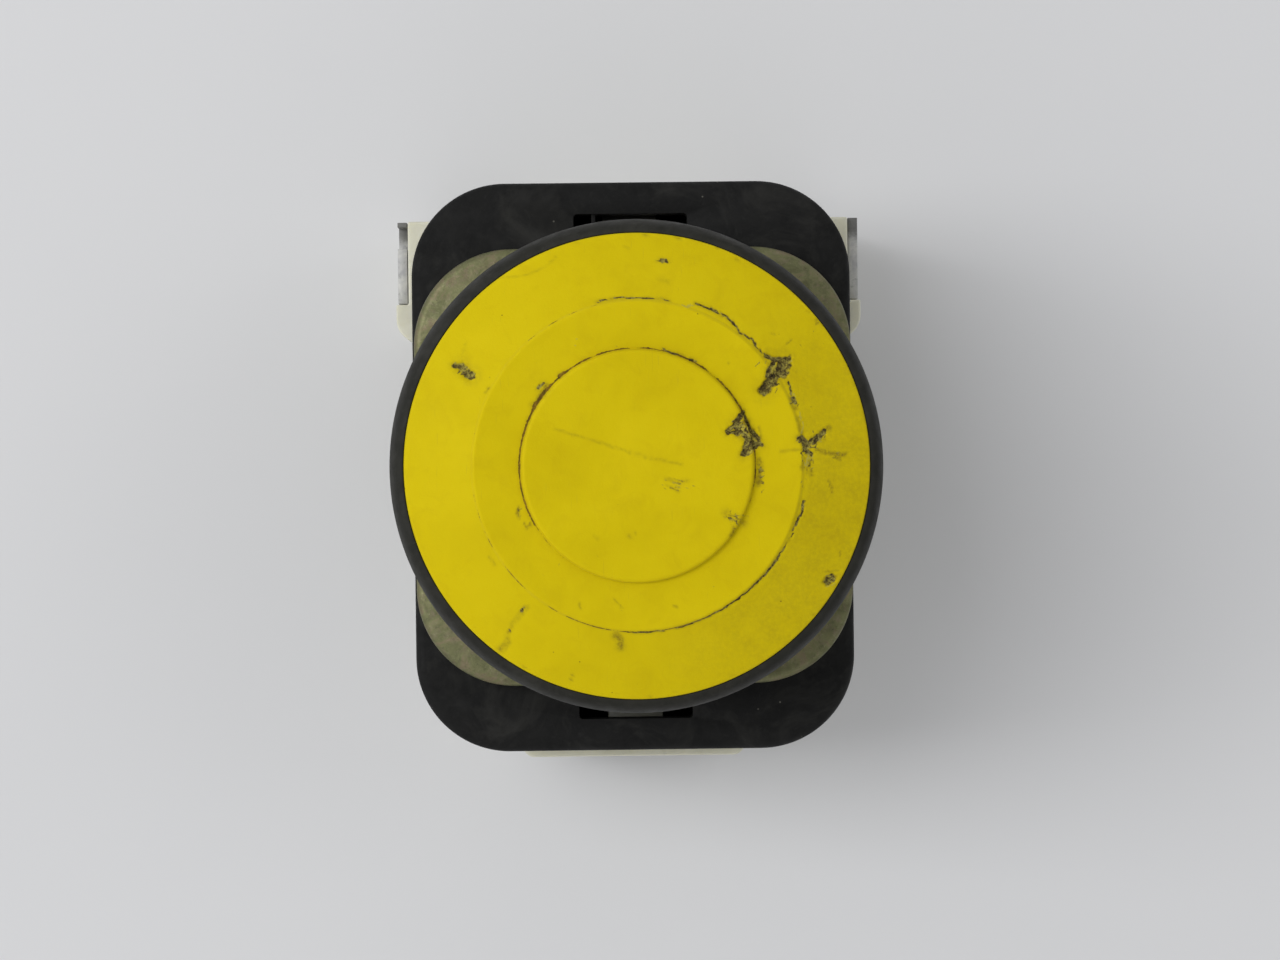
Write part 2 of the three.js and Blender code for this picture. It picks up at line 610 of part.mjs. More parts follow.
// plan outline of the T, arms at +Y, set back behind the metal flags
function blockOutline() {
  const shape = new THREE.Shape();
  const round = Math.min(ARM.corner, (flagFoot - armBottom) * 0.6);
  const r = BLOCK.corner;
  shape.moveTo(-barHalf + r, blockFoot);
  shape.lineTo(barHalf - r, blockFoot);
  shape.absarc(barHalf - r, blockFoot + r, r, -Math.PI / 2, 0);
  shape.lineTo(barHalf, armBottom);
  shape.lineTo(armSpan - round, armBottom);
  shape.absarc(armSpan - round, armBottom + round, round, -Math.PI / 2, 0);
  shape.lineTo(armSpan, flagFoot);
  shape.lineTo(armInner, flagFoot);
  shape.lineTo(armInner, blockTop);
  shape.lineTo(-armInner, blockTop);
  shape.lineTo(-armInner, flagFoot);
  shape.lineTo(-armSpan, flagFoot);
  shape.lineTo(-armSpan, armBottom + round);
  shape.absarc(-armSpan + round, armBottom + round, round, Math.PI, 1.5 * Math.PI);
  shape.lineTo(-barHalf, armBottom);
  shape.lineTo(-barHalf, blockFoot + r);
  shape.absarc(-barHalf + r, blockFoot + r, r, Math.PI, 1.5 * Math.PI);
  return shape;
}

function latch(sign, reach) {
  const tip = cavityBack + reach;
  const half = LATCH.width / 2;
  const [inside, outside] = [latchY - LATCH.thickness / 2, latchY + LATCH.thickness / 2];
  const arm = box(-half, half, ...span(sign * inside, sign * outside), blockFront - BITE, tip);
  const barb = box(-half, half, ...span(sign * (outside - BITE), sign * (outside + LATCH.barb)),
    tip - LATCH.barbHeight, tip);
  return [arm, barb];
}

function contactHousing() {
  const { wall } = BLOCK;
  const stripHalf = STRIP.width / 2 + FIT;
  const body = plate(blockOutline(), 0, blockFront, 0, 4);
  const centre = box(-coverX, coverX, ...coverY, -PAST, roof);
  const foot = box(-coverX, coverX, blockFoot + wall, pocketWall, -PAST, roof);
  const arms = SIDES.map(([, sign]) => (
    box(...span(sign * barHalf, sign * (armInner - wall)), armBottom + wall, blockTop - wall, -PAST, roof)
  ));
  const plungerHoles = [ncY, noY].map((y) => {
    const half = PLUNGER.half + FIT;
    return box(-half, half, y - half, y + half, roof - PAST, blockFront + PAST);
  });
  const ncSlots = SIDES.map(([, sign]) => (
    box(...span(sign * (coverX - PAST), sign * (flagOuter + PAST)), ncY - stripHalf, ncY + stripHalf,
      ncStripZ - FIT, ncStripZ + STRIP.thickness + FIT)
  ));
  const noSlots = SIDES.map(([, sign]) => (
    box(sign * noScrewX - stripHalf, sign * noScrewX + stripHalf, pocketWall - PAST, coverY[0] + PAST,
      NO_STRIP_Z - FIT, NO_STRIP_Z + STRIP.thickness + FIT)
  ));
  const wireMouths = SIDES.map(([, sign]) => (
    box(...span(sign * (barHalf + wall), sign * (armInner - wall - MOUTH.inset)),
      blockTop - wall - PAST, blockTop + PAST, -PAST, ncStripZ - MOUTH.inset)
  ));
  const footMouth = box(-coverX + MOUTH.inset, coverX - MOUTH.inset,
    blockFoot - PAST, blockFoot + wall + PAST, -PAST, NO_STRIP_Z - MOUTH.inset);
  const hollows = [centre, foot, ...arms, ...plungerHoles, ...ncSlots, ...noSlots, ...wireMouths, footMouth];
  const shell = cut(body, ...hollows);
  const posts = coverScrewY.map((y) => moved(rod(COVER.post, COVER.thickness, roof + BITE), 0, y));
  const bores = coverScrewY.map((y) => bore(M3.shank, 0, COVER.sink + COVER.screwLength, 0, y));
  const latches = [...latch(1, LATCH.topReach), ...latch(-1, LATCH.bottomReach)];
  return cut(join(shell, ...posts, ...latches), ...bores);
}

function contactCover() {
  const x = coverX - FIT;
  const sheet = box(-x, x, coverY[0] + FIT, coverY[1] - FIT, 0, COVER.thickness);
  const bores = coverScrewY.map((y) => bore(M3.shank, 0, COVER.thickness, 0, y));
  const sinks = coverScrewY.map((y) => moved(rod(M3.head + GAP, -PAST, COVER.sink), 0, y));
  return cut(sheet, ...bores, ...sinks);
}

// a thin-headed screw that ends up flush with the cover
function coverScrew() {
  const { screwLength, screwHead } = COVER;
  const body = turned([
    [0, -screwLength], [M3.shank, -screwLength], [M3.shank, 0],
    [M3.head, 0], [M3.head, screwHead], [0, screwHead],
  ], FINE);
  const slotHalf = SCREW.slotWidth / 2;
  return flipped(cut(body, box(-M3.head, M3.head, -slotHalf, slotHalf, screwHead / 2, screwHead + PAST)));
}

piece('contact_housing', contactHousing(), naturalNylon);
piece('contact_cover', contactCover(), naturalNylon);
piece('cover_screw_upper', coverScrew(), platedSteel, 0, coverScrewY[0], COVER.sink);
piece('cover_screw_lower', coverScrew(), platedSteel, 0, coverScrewY[1], COVER.sink);

// ---------------------------------------------------------------- terminals

// closed-circuit strip: from the fixed tip out through the arm, with the flag turned up outside
function ncTerminal(sign) {
  const half = STRIP.width / 2;
  const top = ncStripZ + STRIP.thickness;
  const strip = box(...span(sign * (STRIP.tipX - TIP.radius), sign * flagOuter), ncY - half, ncY + half,
    ncStripZ, top);
  const flag = box(...span(sign * flagInner, sign * flagOuter), flagFoot + FIT, blockTop,
    ncStripZ, blockFront - FLAG.short);
  const hole = bore(M35.shank, ncStripZ, top, sign * ncScrewX, ncY);
  if (sign > 0) return cut(join(strip, flag), hole);
  const notch = box(...span(sign * (flagInner - PAST), sign * (flagOuter + PAST)),
    blockTop - FLAG.notchFrom, blockTop - FLAG.notchTo,
    blockFront - FLAG.short - FLAG.notchDepth, blockFront);
  return cut(join(strip, flag), hole, notch);
}

// open-circuit strip: from the fixed tip down to the pocket at the -Y end
function noTerminal(sign) {
  const half = STRIP.width / 2;
  const top = NO_STRIP_Z + STRIP.thickness;
  const x = sign * noScrewX;
  const strip = box(x - half, x + half, blockFoot + BLOCK.wall + GAP, noY + TIP.radius, NO_STRIP_Z, top);
  const toe = box(...span(sign * (STRIP.tipX - TIP.radius), x), noY - TIP.radius, noY + TIP.radius,
    NO_STRIP_Z, top);
  return cut(join(strip, toe), bore(M35.shank, NO_STRIP_Z, top, x, noScrewY));
}

function saddleClamp() {
  const half = CLAMP.size / 2;
  return cut(box(-half, half, -half, half, 0, CLAMP.thickness), bore(M35.shank, 0, CLAMP.thickness));
}

const clampDrop = CLAMP.wireGap + CLAMP.thickness;
const ncClampZ = ncStripZ - clampDrop;
const noClampZ = NO_STRIP_Z - clampDrop;
const fixedTip = () => rod(TIP.radius, 0, TIP.height);

for (const [side, sign] of SIDES) {
  piece(`nc_terminal_${side}`, ncTerminal(sign), platedSteel);
  piece(`nc_fixed_tip_${side}`, fixedTip(), silver, sign * STRIP.tipX, ncY, ncStripZ - TIP.height);
  piece(`nc_clamp_${side}`, saddleClamp(), platedSteel, sign * ncScrewX, ncY, ncClampZ);
  piece(`nc_terminal_screw_${side}`, flipped(screw(M35, CLAMP.screw)), platedSteel,
    sign * ncScrewX, ncY, ncClampZ);
  piece(`no_terminal_${side}`, noTerminal(sign), brass);
  piece(`no_fixed_tip_${side}`, fixedTip(), silver, sign * STRIP.tipX, noY, NO_STRIP_Z + STRIP.thickness);
  piece(`no_clamp_${side}`, saddleClamp(), platedSteel, sign * noScrewX, noScrewY, noClampZ);
  piece(`no_terminal_screw_${side}`, flipped(screw(M35, CLAMP.screw)), platedSteel,
    sign * noScrewX, noScrewY, noClampZ);
}

// ---------------------------------------------------------------- moving contact sets

const plungerTop = actuatorBack;
const bridgeHalf = STRIP.tipX + BRIDGE.overhang;

function plunger(y, foot, window) {
  const { half, flange, flangeHeight, windowHalf } = PLUNGER;
  const shaft = box(-half, half, y - half, y + half, foot, plungerTop - BITE);
  const head = moved(rod(flange, plungerTop - flangeHeight, plungerTop), 0, y);
  const gate = box(-half - PAST, half + PAST, y - windowHalf, y + windowHalf, ...window);
  return cut(join(shaft, head), gate);
}

const bridge = (y, z) => (
  box(-bridgeHalf, bridgeHalf, y - BRIDGE.half, y + BRIDGE.half, z, z + BRIDGE.thickness)
);
const movingTip = () => rod(TIP.movingRadius, 0, TIP.movingHeight);

const ncWindow = [ncSpringBack, ncBridgeZ + BRIDGE.thickness + BRIDGE.play];
const noSpringBack = noBridgeZ + BRIDGE.thickness;
const noWindow = [noBridgeZ - BRIDGE.play / 2, noSpringBack + CONTACT_SPRING.length - BRIDGE.play];
const noFoot = noWindow[0] - 3 * PLUNGER.foot;

const returnRadius = PLUNGER.half * Math.SQRT2 + RETURN_SPRING.play + RETURN_SPRING.wire;
const returnSpring = () => (
  coil({ ...RETURN_SPRING, radius: returnRadius }, blockFront, plungerTop - PLUNGER.flangeHeight)
);

piece('nc_plunger', plunger(ncY, ncFoot, ncWindow), whiteNylon);
piece('nc_bridge', bridge(ncY, ncBridgeZ), brass);
piece('nc_contact_spring', coil(CONTACT_SPRING, ncSpringBack, ncBridgeZ), springSteel, 0, ncY, 0);
piece('nc_return_spring', returnSpring(), springSteel, 0, ncY, 0);
piece('no_plunger', plunger(noY, noFoot, noWindow), whiteNylon);
piece('no_bridge', bridge(noY, noBridgeZ), brass);
piece('no_contact_spring', coil(CONTACT_SPRING, noSpringBack, noWindow[1]), springSteel, 0, noY, 0);
piece('no_return_spring', returnSpring(), springSteel, 0, noY, 0);
for (const [side, sign] of SIDES) {
  piece(`nc_bridge_tip_${side}`, movingTip(), silver, sign * STRIP.tipX, ncY, ncTipZ);
  piece(`no_bridge_tip_${side}`, movingTip(), silver, sign * STRIP.tipX, noY, noTipZ);
}

export default assembly;
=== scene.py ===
"""Emergency stop button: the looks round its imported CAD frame.

Lengths in this file are millimetres unless a name says otherwise, and meshes are made in metres.
Sizes come from the CAD nodes' boxes. Only edge radii, threads, wear and finish are decided here.
"""

import json
import math
import random

import bmesh
import bpy
import numpy as np
from mathutils import Matrix, Vector

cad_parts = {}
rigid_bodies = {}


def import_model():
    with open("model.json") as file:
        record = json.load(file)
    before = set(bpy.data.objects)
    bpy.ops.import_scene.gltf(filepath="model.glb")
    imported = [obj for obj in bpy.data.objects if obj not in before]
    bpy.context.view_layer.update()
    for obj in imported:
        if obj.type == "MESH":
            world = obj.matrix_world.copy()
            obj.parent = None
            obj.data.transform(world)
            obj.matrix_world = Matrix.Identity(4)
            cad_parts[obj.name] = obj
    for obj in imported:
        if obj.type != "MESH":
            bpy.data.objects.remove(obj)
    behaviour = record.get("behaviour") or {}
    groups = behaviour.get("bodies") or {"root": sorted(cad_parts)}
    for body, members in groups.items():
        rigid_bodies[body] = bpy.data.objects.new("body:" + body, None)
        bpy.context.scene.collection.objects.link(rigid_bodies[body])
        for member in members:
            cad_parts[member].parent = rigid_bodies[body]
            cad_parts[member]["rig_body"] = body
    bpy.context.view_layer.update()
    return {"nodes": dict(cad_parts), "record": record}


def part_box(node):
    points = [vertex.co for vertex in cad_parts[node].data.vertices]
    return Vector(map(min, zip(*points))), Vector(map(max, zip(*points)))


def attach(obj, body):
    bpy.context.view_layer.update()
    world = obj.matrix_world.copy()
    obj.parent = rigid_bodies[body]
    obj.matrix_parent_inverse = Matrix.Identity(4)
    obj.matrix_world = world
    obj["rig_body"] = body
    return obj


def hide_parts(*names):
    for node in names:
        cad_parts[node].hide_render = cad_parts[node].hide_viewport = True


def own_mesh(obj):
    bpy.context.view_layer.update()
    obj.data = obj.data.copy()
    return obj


MM = 0.001
TAU = 2 * math.pi

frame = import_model()

SLOT = {part["node"]: part["material_slot"] for part in frame["record"]["subparts"]}
BODY = {name: node["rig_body"] for name, node in frame["nodes"].items()}
SIDES = ("left", "right")

TRAVEL = 6  # the head's stroke
STEM_BORE = 4.15
SCREW_HOLE = 2.05  # for an M4 shank
CARRIER_SCREWS = [(-16, -14), (16, -14)]
CARRIER_HOLE = 1.85
COLLAR_RADIUS, COLLAR_FIT = 14.7, 0.15  # and the room that its rings have round it
FLANGE_TOP = 50.5


def box(node):
    """A CAD node's lowest and highest corner in millimetres."""
    low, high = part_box(node)
    return low / MM, high / MM


# ---------- node materials


class Nodes:
    """Makes and links nodes in one tree."""

    def __init__(self, tree):
        self.tree = tree
        tree.nodes.clear()

    def node(self, kind, sockets=None, **settings):
        """A new node. Its sockets are fed by name or number."""
        made = self.tree.nodes.new(kind)
        for key, value in settings.items():
            setattr(made, key, value)
        for key, value in (sockets or {}).items():
            self.feed(made.inputs[key], value)
        return made

    def feed(self, socket, value):
        """Sets a socket to a number or colour, or links an output to it."""
        if isinstance(value, bpy.types.NodeSocket):
            self.tree.links.new(value, socket)
        elif isinstance(value, (tuple, list)) and len(value) == 3 and socket.type == "RGBA":
            socket.default_value = (*value, 1)
        else:
            socket.default_value = value

    def ramp(self, value, *stops):
        """Stops are (position, number or colour)."""
        made = self.node("ShaderNodeValToRGB", {"Fac": value})
        elements = made.color_ramp.elements
        while len(elements) < len(stops):
            elements.new(0.5)
        for element, (position, colour) in zip(elements, stops):
            element.position = position
            grey = not isinstance(colour, (tuple, list))
            element.color = (colour, colour, colour, 1) if grey else (*colour, 1)
        return made.outputs["Color"]

    def mix(self, share, first, second, way="MIX"):
        sockets = {0: share, 6: first, 7: second}  # the numbers of the colour mix's sockets
        return self.node("ShaderNodeMix", sockets, data_type="RGBA", blend_type=way).outputs[2]

    def axis(self, place, name):
        return self.node("ShaderNodeSeparateXYZ", {0: place}).outputs[name]


class Finish(Nodes):
    """A material. Texture coordinates are the object's own, in metres."""

    def __init__(self, name, **constants):
        self.material = bpy.data.materials.new(name)
        self.material.use_nodes = True
        super().__init__(self.material.node_tree)
        self.shader = self.node("ShaderNodeBsdfPrincipled")
        self.node("ShaderNodeOutputMaterial", {"Surface": self.shader.outputs["BSDF"]})
        self.place = self.node("ShaderNodeTexCoord").outputs["Object"]
        self.set(**constants)

    def stretched(self, x, y, z, turn=0):
        sockets = {"Vector": self.place, "Scale": (x, y, z), "Rotation": (0, 0, turn)}
        return self.node("ShaderNodeMapping", sockets).outputs["Vector"]

    def noise(self, size, detail=3, rough=0.55, warp=0, place=None):
        """Noise with features about size millimetres across."""
        sockets = {"Vector": place or self.place, "Scale": 1 / (size * MM), "Detail": detail,
                   "Roughness": rough, "Distortion": warp}
        return self.node("ShaderNodeTexNoise", sockets).outputs["Fac"]

    def cells(self, size):
        sockets = {"Vector": self.place, "Scale": 1 / (size * MM)}
        return self.node("ShaderNodeTexVoronoi", sockets).outputs["Distance"]

    def attribute(self, name):
        return self.node("ShaderNodeAttribute", attribute_name=name).outputs["Fac"]

    def maths(self, way, first, second=0, clamp=False):
        sockets = {0: first, 1: second}
        return self.node("ShaderNodeMath", sockets, operation=way, use_clamp=clamp).outputs[0]

    def bump(self, height, depth, strength=1, normal=None):
        """Bump with the given depth in millimetres."""
        sockets = {"Strength": strength, "Distance": depth * MM, "Height": height}
        if normal:
            sockets["Normal"] = normal
        return self.node("ShaderNodeBump", sockets).outputs["Normal"]

    def set(self, **sockets):
        """Sets or links the shader's sockets."""
        for key, value in sockets.items():
            self.feed(self.shader.inputs[key.replace("_", " ")], value)


def yellow_plastic():
    """Scuffed yellow plastic. The marks' attributes place the damage and a painted shade, and noise breaks it
    up.
    """
    f = Finish("yellow_plastic", Specular_IOR_Level=0.2, Specular_Tint=(1, 0.88, 0.08, 1),
               Subsurface_Weight=0.12, Subsurface_Scale=0.0011, Subsurface_Radius=(1, 0.75, 0.1))
    cloud = f.noise(9, 3, 0.6, 0.4)
    base = f.ramp(cloud, (0.3, (0.545, 0.424, 0.004)), (0.5, (0.58, 0.456, 0.0043)),
                  (0.72, (0.606, 0.478, 0.0055)))
    grime = f.ramp(f.noise(2.8, 5, 0.65, 0.6), (0.5, 0), (0.8, 0.3))
    base = f.mix(grime, base, (0.42, 0.29, 0.005))
    # hair scratches in three directions, and fine dark specks
    hair = None
    for turn, size in ((0.5, 1.3), (-0.9, 1.7), (1.4, 1.1)):
        streak = f.noise(size, 2, 0.5, 0.3, f.stretched(9, 0.55, 1, turn))
        streak = f.ramp(streak, (0.7, 0), (0.76, 0.3))
        hair = streak if hair is None else f.maths("MAXIMUM", hair, streak)
    patch = f.ramp(f.noise(5, 2), (0.46, 0), (0.62, 1))
    base = f.mix(f.maths("MULTIPLY", hair, patch), base, (0.4, 0.31, 0.02))
    speck = f.ramp(f.cells(1.7), (0.03, 0.8), (0.055, 0))
    rare = f.ramp(f.noise(4.1, 1), (0.54, 0), (0.58, 1))
    base = f.mix(f.maths("MULTIPLY", speck, rare), base, (0.13, 0.08, 0.01))
    # soft stains, and painted shade on the right of the band
    ragged = f.noise(0.4, 4, 0.7)
    stain_and_shade = f.maths("MULTIPLY", f.attribute("stain_and_shade"), f.ramp(ragged, (0.36, 0.35), (0.6, 1)), True)
    base = f.mix(stain_and_shade, base, (0.12, 0.078, 0.014))
    # packed dirt in grains
    grain = f.maths("ADD", f.attribute("dirt"), f.maths("MULTIPLY", f.noise(0.26, 4, 0.75), 1.1))
    soil = f.ramp(f.noise(0.6, 3, 0.6), (0.36, (0.024, 0.016, 0.009)), (0.52, (0.12, 0.055, 0.014)),
                  (0.66, (0.26, 0.17, 0.02)))
    base = f.mix(f.ramp(grain, (0.94, 0), (1.14, 0.92)), base, soil)
    # pale torn plastic
    pale = f.ramp(f.maths("ADD", f.attribute("pale"), f.maths("MULTIPLY", f.noise(0.3, 3, 0.6), 0.6)),
                  (0.8, 0), (1.1, 0.65))
    base = f.mix(pale, base, (0.4, 0.35, 0.07))
    # dark gouges with an uneven greenish floor
    edge = f.maths("ADD", f.attribute("scar"), f.maths("MULTIPLY", f.noise(0.34, 4, 0.75, 0.3), 0.9))
    floor = f.ramp(f.noise(0.42, 4, 0.75, 0.6), (0.36, (0.022, 0.018, 0.014)), (0.45, (0.07, 0.048, 0.02)),
                   (0.51, (0.15, 0.122, 0.034)), (0.59, (0.27, 0.23, 0.055)), (0.72, (0.42, 0.36, 0.06)))
    base = f.mix(f.ramp(edge, (0.72, 0), (1.00, 1)), base, floor)
    f.set(Base_Color=base)
    f.set(Roughness=f.ramp(f.noise(2.2, 4, 0.6), (0.35, 0.38), (0.7, 0.52)))
    fine = f.bump(f.noise(0.35, 4, 0.6), 0.02, 0.35)
    wavy = f.bump(f.noise(4.5, 2, 0.5), 0.1, 0.3, fine)
    f.set(Normal=f.bump(edge, 0.1, 0.35, wavy))
    return f.material


def black_plastic(name, dark, light, grain, dust, sheen):
    """Moulded black plastic: fine grain, faint greying and dust."""
    f = Finish(name, Specular_IOR_Level=sheen)
    base = f.ramp(f.noise(2.4, 5, 0.65, 0.3), (0.34, dark), (0.68, light))
    tone_mask = f.ramp(f.noise(0.55, 5, 0.75), (0.56, 0), (0.74, 0.35))
    base = f.mix(tone_mask, base, tuple(2.1 * c for c in light))
    lint = f.ramp(f.cells(1.9), (0.035, dust), (0.06, 0))
    some = f.ramp(f.noise(3.1, 1), (0.53, 0), (0.6, 1))
    base = f.mix(f.maths("MULTIPLY", lint, some), base, (0.23, 0.22, 0.19))
    film = f.ramp(f.noise(6.5, 4, 0.7, 0.8), (0.5, 0), (0.82, dust * 0.5))
    f.set(Base_Color=f.mix(film, base, (0.1, 0.098, 0.088)))
    f.set(Roughness=f.ramp(f.noise(1.6, 4, 0.6), (0.35, 0.55), (0.7, 0.72)))
    rough = f.bump(f.noise(grain, 3, 0.6), 0.035, 0.6)
    f.set(Normal=f.bump(f.noise(5, 2), 0.08, 0.25, rough))
    return f.material


def nylon(name, base, shade, sheen=0.35, shaded_above=None):
    """Cloudy translucent nylon with a yellowed tint here and there."""
    f = Finish(name, Specular_IOR_Level=sheen, Subsurface_Weight=0.35, Subsurface_Scale=0.0022,
               Subsurface_Radius=(1, 0.95, 0.7))
    cloud = f.ramp(f.noise(4.2, 4, 0.6, 0.5), (0.32, shade), (0.66, base))
    dirt = f.ramp(f.noise(1.3, 5, 0.7, 0.5), (0.57, 0), (0.8, 0.4))
    clean = f.mix(dirt, cloud, tuple(0.62 * c for c in shade))
    if shaded_above:  # painted shade above this level: the ends of the latches, down in the carrier's slots
        height = f.maths("MULTIPLY", f.axis(f.place, "Z"), 1 / MM)
        height = f.maths("ADD", height, f.maths("MULTIPLY", f.noise(0.9, 4, 0.7), 3))
        share = f.maths("DIVIDE", height, 100)
        painted_shade = f.ramp(share, (shaded_above / 100 - 0.01, 0), (shaded_above / 100 + 0.02, 0.93))
        clean = f.mix(painted_shade, clean, (0.03, 0.03, 0.022))
    f.set(Base_Color=clean)
    f.set(Roughness=f.ramp(f.noise(1.8, 3), (0.35, 0.4), (0.7, 0.56)))
    f.set(Normal=f.bump(f.noise(0.9, 4, 0.6), 0.03, 0.5))
    return f.material


def chromated_zinc():
    """Die-cast zinc under an old olive-yellow chromate, mottled green, tan and pink."""
    f = Finish("chromated_zinc", Metallic=0.72)
    broad = f.noise(2.6, 5, 0.7, 1.2)
    base = f.ramp(broad, (0.3, (0.105, 0.1, 0.05)), (0.43, (0.14, 0.145, 0.068)),
                  (0.52, (0.17, 0.172, 0.082)), (0.62, (0.2, 0.165, 0.098)), (0.74, (0.115, 0.135, 0.072)))
    blush = f.ramp(f.noise(1.1, 4, 0.7, 1), (0.5, 0), (0.72, 0.55))
    base = f.mix(blush, base, (0.215, 0.165, 0.125))
    rust = f.ramp(f.noise(0.8, 4, 0.75, 0.6), (0.66, 0), (0.76, 0.6))
    base = f.mix(rust, base, (0.42, 0.26, 0.09))
    pit = f.ramp(f.noise(0.42, 5, 0.8), (0.3, 0.65), (0.42, 0))
    base = f.mix(f.ramp(f.noise(0.33, 4, 0.8), (0.56, 0), (0.7, 0.5)), base, (0.3, 0.28, 0.17))
    f.set(Base_Color=f.mix(pit, base, (0.05, 0.045, 0.03)))
    f.set(Roughness=f.ramp(f.noise(1.4, 4, 0.7), (0.3, 0.42), (0.7, 0.66)))
    cast = f.bump(f.noise(0.4, 4, 0.7), 0.05, 0.6)
    f.set(Normal=f.bump(f.noise(2, 3, 0.6), 0.1, 0.4, cast))
    return f.material


def metal(name, base, tarnish, rough, brushed=0.35, share=0.4):
    """Plated or bare metal with tarnish and fine drawn lines."""
    f = Finish(name, Metallic=1)
    patch = f.ramp(f.noise(1.9, 5, 0.7, 0.6), (0.4, 0), (0.72, share))
    tone = f.mix(patch, base, tarnish)
    spot = f.ramp(f.noise(0.5, 4, 0.75), (0.62, 0), (0.76, 0.5))
    f.set(Base_Color=f.mix(spot, tone, tuple(0.4 * c for c in tarnish)))
    f.set(Roughness=f.ramp(f.noise(0.9, 4, 0.6), (0.32, rough), (0.72, rough + 0.22)))
    lines = f.noise(0.3, 3, 0.6, 0, f.stretched(0.35, 3, 3))
    f.set(Normal=f.bump(lines, 0.02, brushed))
    return f.material


def dull_plating():
    """Old matt zinc plating on the terminals."""
    f = Finish("dull_plating", Metallic=0.45, Specular_IOR_Level=0.3)
    base = f.ramp(f.noise(1.6, 5, 0.7, 0.5), (0.34, (0.36, 0.36, 0.37)), (0.52, (0.47, 0.47, 0.46)),
                  (0.68, (0.55, 0.55, 0.52)))
    dark = f.ramp(f.noise(0.9, 4, 0.75, 0.4), (0.6, 0), (0.74, 0.7))
    base = f.mix(dark, base, (0.13, 0.13, 0.12))
    # painted shade over the upper end of the flag; a ramp takes 0 to 1, so its values are decimetres
    end = (box("nc_terminal_left")[1].y - 2) / 100
    height = f.maths("MULTIPLY", f.axis(f.place, "Y"), 0.01 / MM)
    height = f.maths("ADD", height, f.maths("MULTIPLY", f.noise(0.8, 4, 0.7), 0.016))
    base = f.mix(f.ramp(height, (end + 0.004, 0), (end + 0.014, 0.8)), base, (0.09, 0.09, 0.085))
    f.set(Base_Color=base)
    f.set(Roughness=f.ramp(f.noise(0.9, 4, 0.6), (0.32, 0.5), (0.72, 0.7)))
    lines = f.noise(0.3, 3, 0.6, 0, f.stretched(0.35, 3, 3))
    f.set(Normal=f.bump(lines, 0.02, 0.3))
    return f.material


def rubber():
    f = Finish("black_rubber", Specular_IOR_Level=0.25)
    base = f.ramp(f.noise(1.5, 5, 0.7), (0.35, (0.012, 0.012, 0.012)), (0.7, (0.026, 0.025, 0.024)))
    bloom = f.ramp(f.noise(3, 4, 0.7, 0.5), (0.52, 0), (0.8, 0.5))
    f.set(Base_Color=f.mix(bloom, base, (0.075, 0.072, 0.066)))
    f.set(Roughness=f.ramp(f.noise(1.1, 3), (0.3, 0.72), (0.7, 0.9)))
    f.set(Normal=f.bump(f.noise(0.3, 3, 0.6), 0.03, 0.6))
    return f.material


FINISHES = {
    "yellow_plastic": yellow_plastic(),
    "head_black": black_plastic("head_black", (0.0145, 0.0145, 0.0118), (0.0225, 0.022, 0.018),
                                0.22, 0.4, 0.14),
    "carrier_black": black_plastic("carrier_black", (0.0058, 0.006, 0.0061), (0.0108, 0.0108, 0.0105),
                                   0.3, 0.4, 0.12),
    # the natural nylon gets painted shade above 29 mm, on the latch ends in the slots
    "natural_nylon": nylon("natural_nylon", (0.66, 0.65, 0.54), (0.57, 0.56, 0.45), shaded_above=29),
    "white_nylon": nylon("white_nylon", (0.74, 0.73, 0.66), (0.66, 0.65, 0.57)),
    "chromated_zinc": chromated_zinc(),
    "plated_steel": metal("plated_steel", (0.42, 0.42, 0.41), (0.24, 0.23, 0.2), 0.42),
    "spring_steel": metal("spring_steel", (0.48, 0.49, 0.5), (0.28, 0.27, 0.25), 0.24, 0.25, 0.3),
    "brass": metal("brass", (0.62, 0.45, 0.16), (0.28, 0.19, 0.08), 0.28),
    "silver": metal("silver", (0.8, 0.79, 0.77), (0.36, 0.33, 0.28), 0.22, 0.3, 0.3),
    "black_rubber": rubber(),
}
TERMINAL = dull_plating()


# ---------- meshes


def link(name, mesh):
    made = bpy.data.objects.new(name, mesh)
    bpy.context.scene.collection.objects.link(made)
    return made


def solid(name, points, faces):
    """An object from points in millimetres. Doubles are merged and faces turned outwards."""
    mesh = bpy.data.meshes.new(name)
    mesh.from_pydata([tuple(c * MM for c in p) for p in points], [], faces)
    b = bmesh.new()
    b.from_mesh(mesh)
    bmesh.ops.remove_doubles(b, verts=b.verts, dist=2e-7)
    bmesh.ops.delete(b, geom=[e for e in b.edges if not e.link_faces], context="EDGES")
    bmesh.ops.recalc_face_normals(b, faces=b.faces)
    b.to_mesh(mesh)
    b.free()
    return link(name, mesh)


def loft(name, loops, closed=False):
    """Loops of equally many points, joined in turn. The ends are capped, or joined if closed."""
    count = len(loops[0])
    points = [p for loop in loops for p in loop]
    faces = []
    for i in range(len(loops) if closed else len(loops) - 1):
        a, b = i * count, ((i + 1) % len(loops)) * count
        for k in range(count):
            n = (k + 1) % count
            faces.append((a + k, a + n, b + n, b + k))
    if not closed:
        faces += [tuple(range(count)), tuple(range(len(points) - count, len(points)))]
    return solid(name, points, faces)


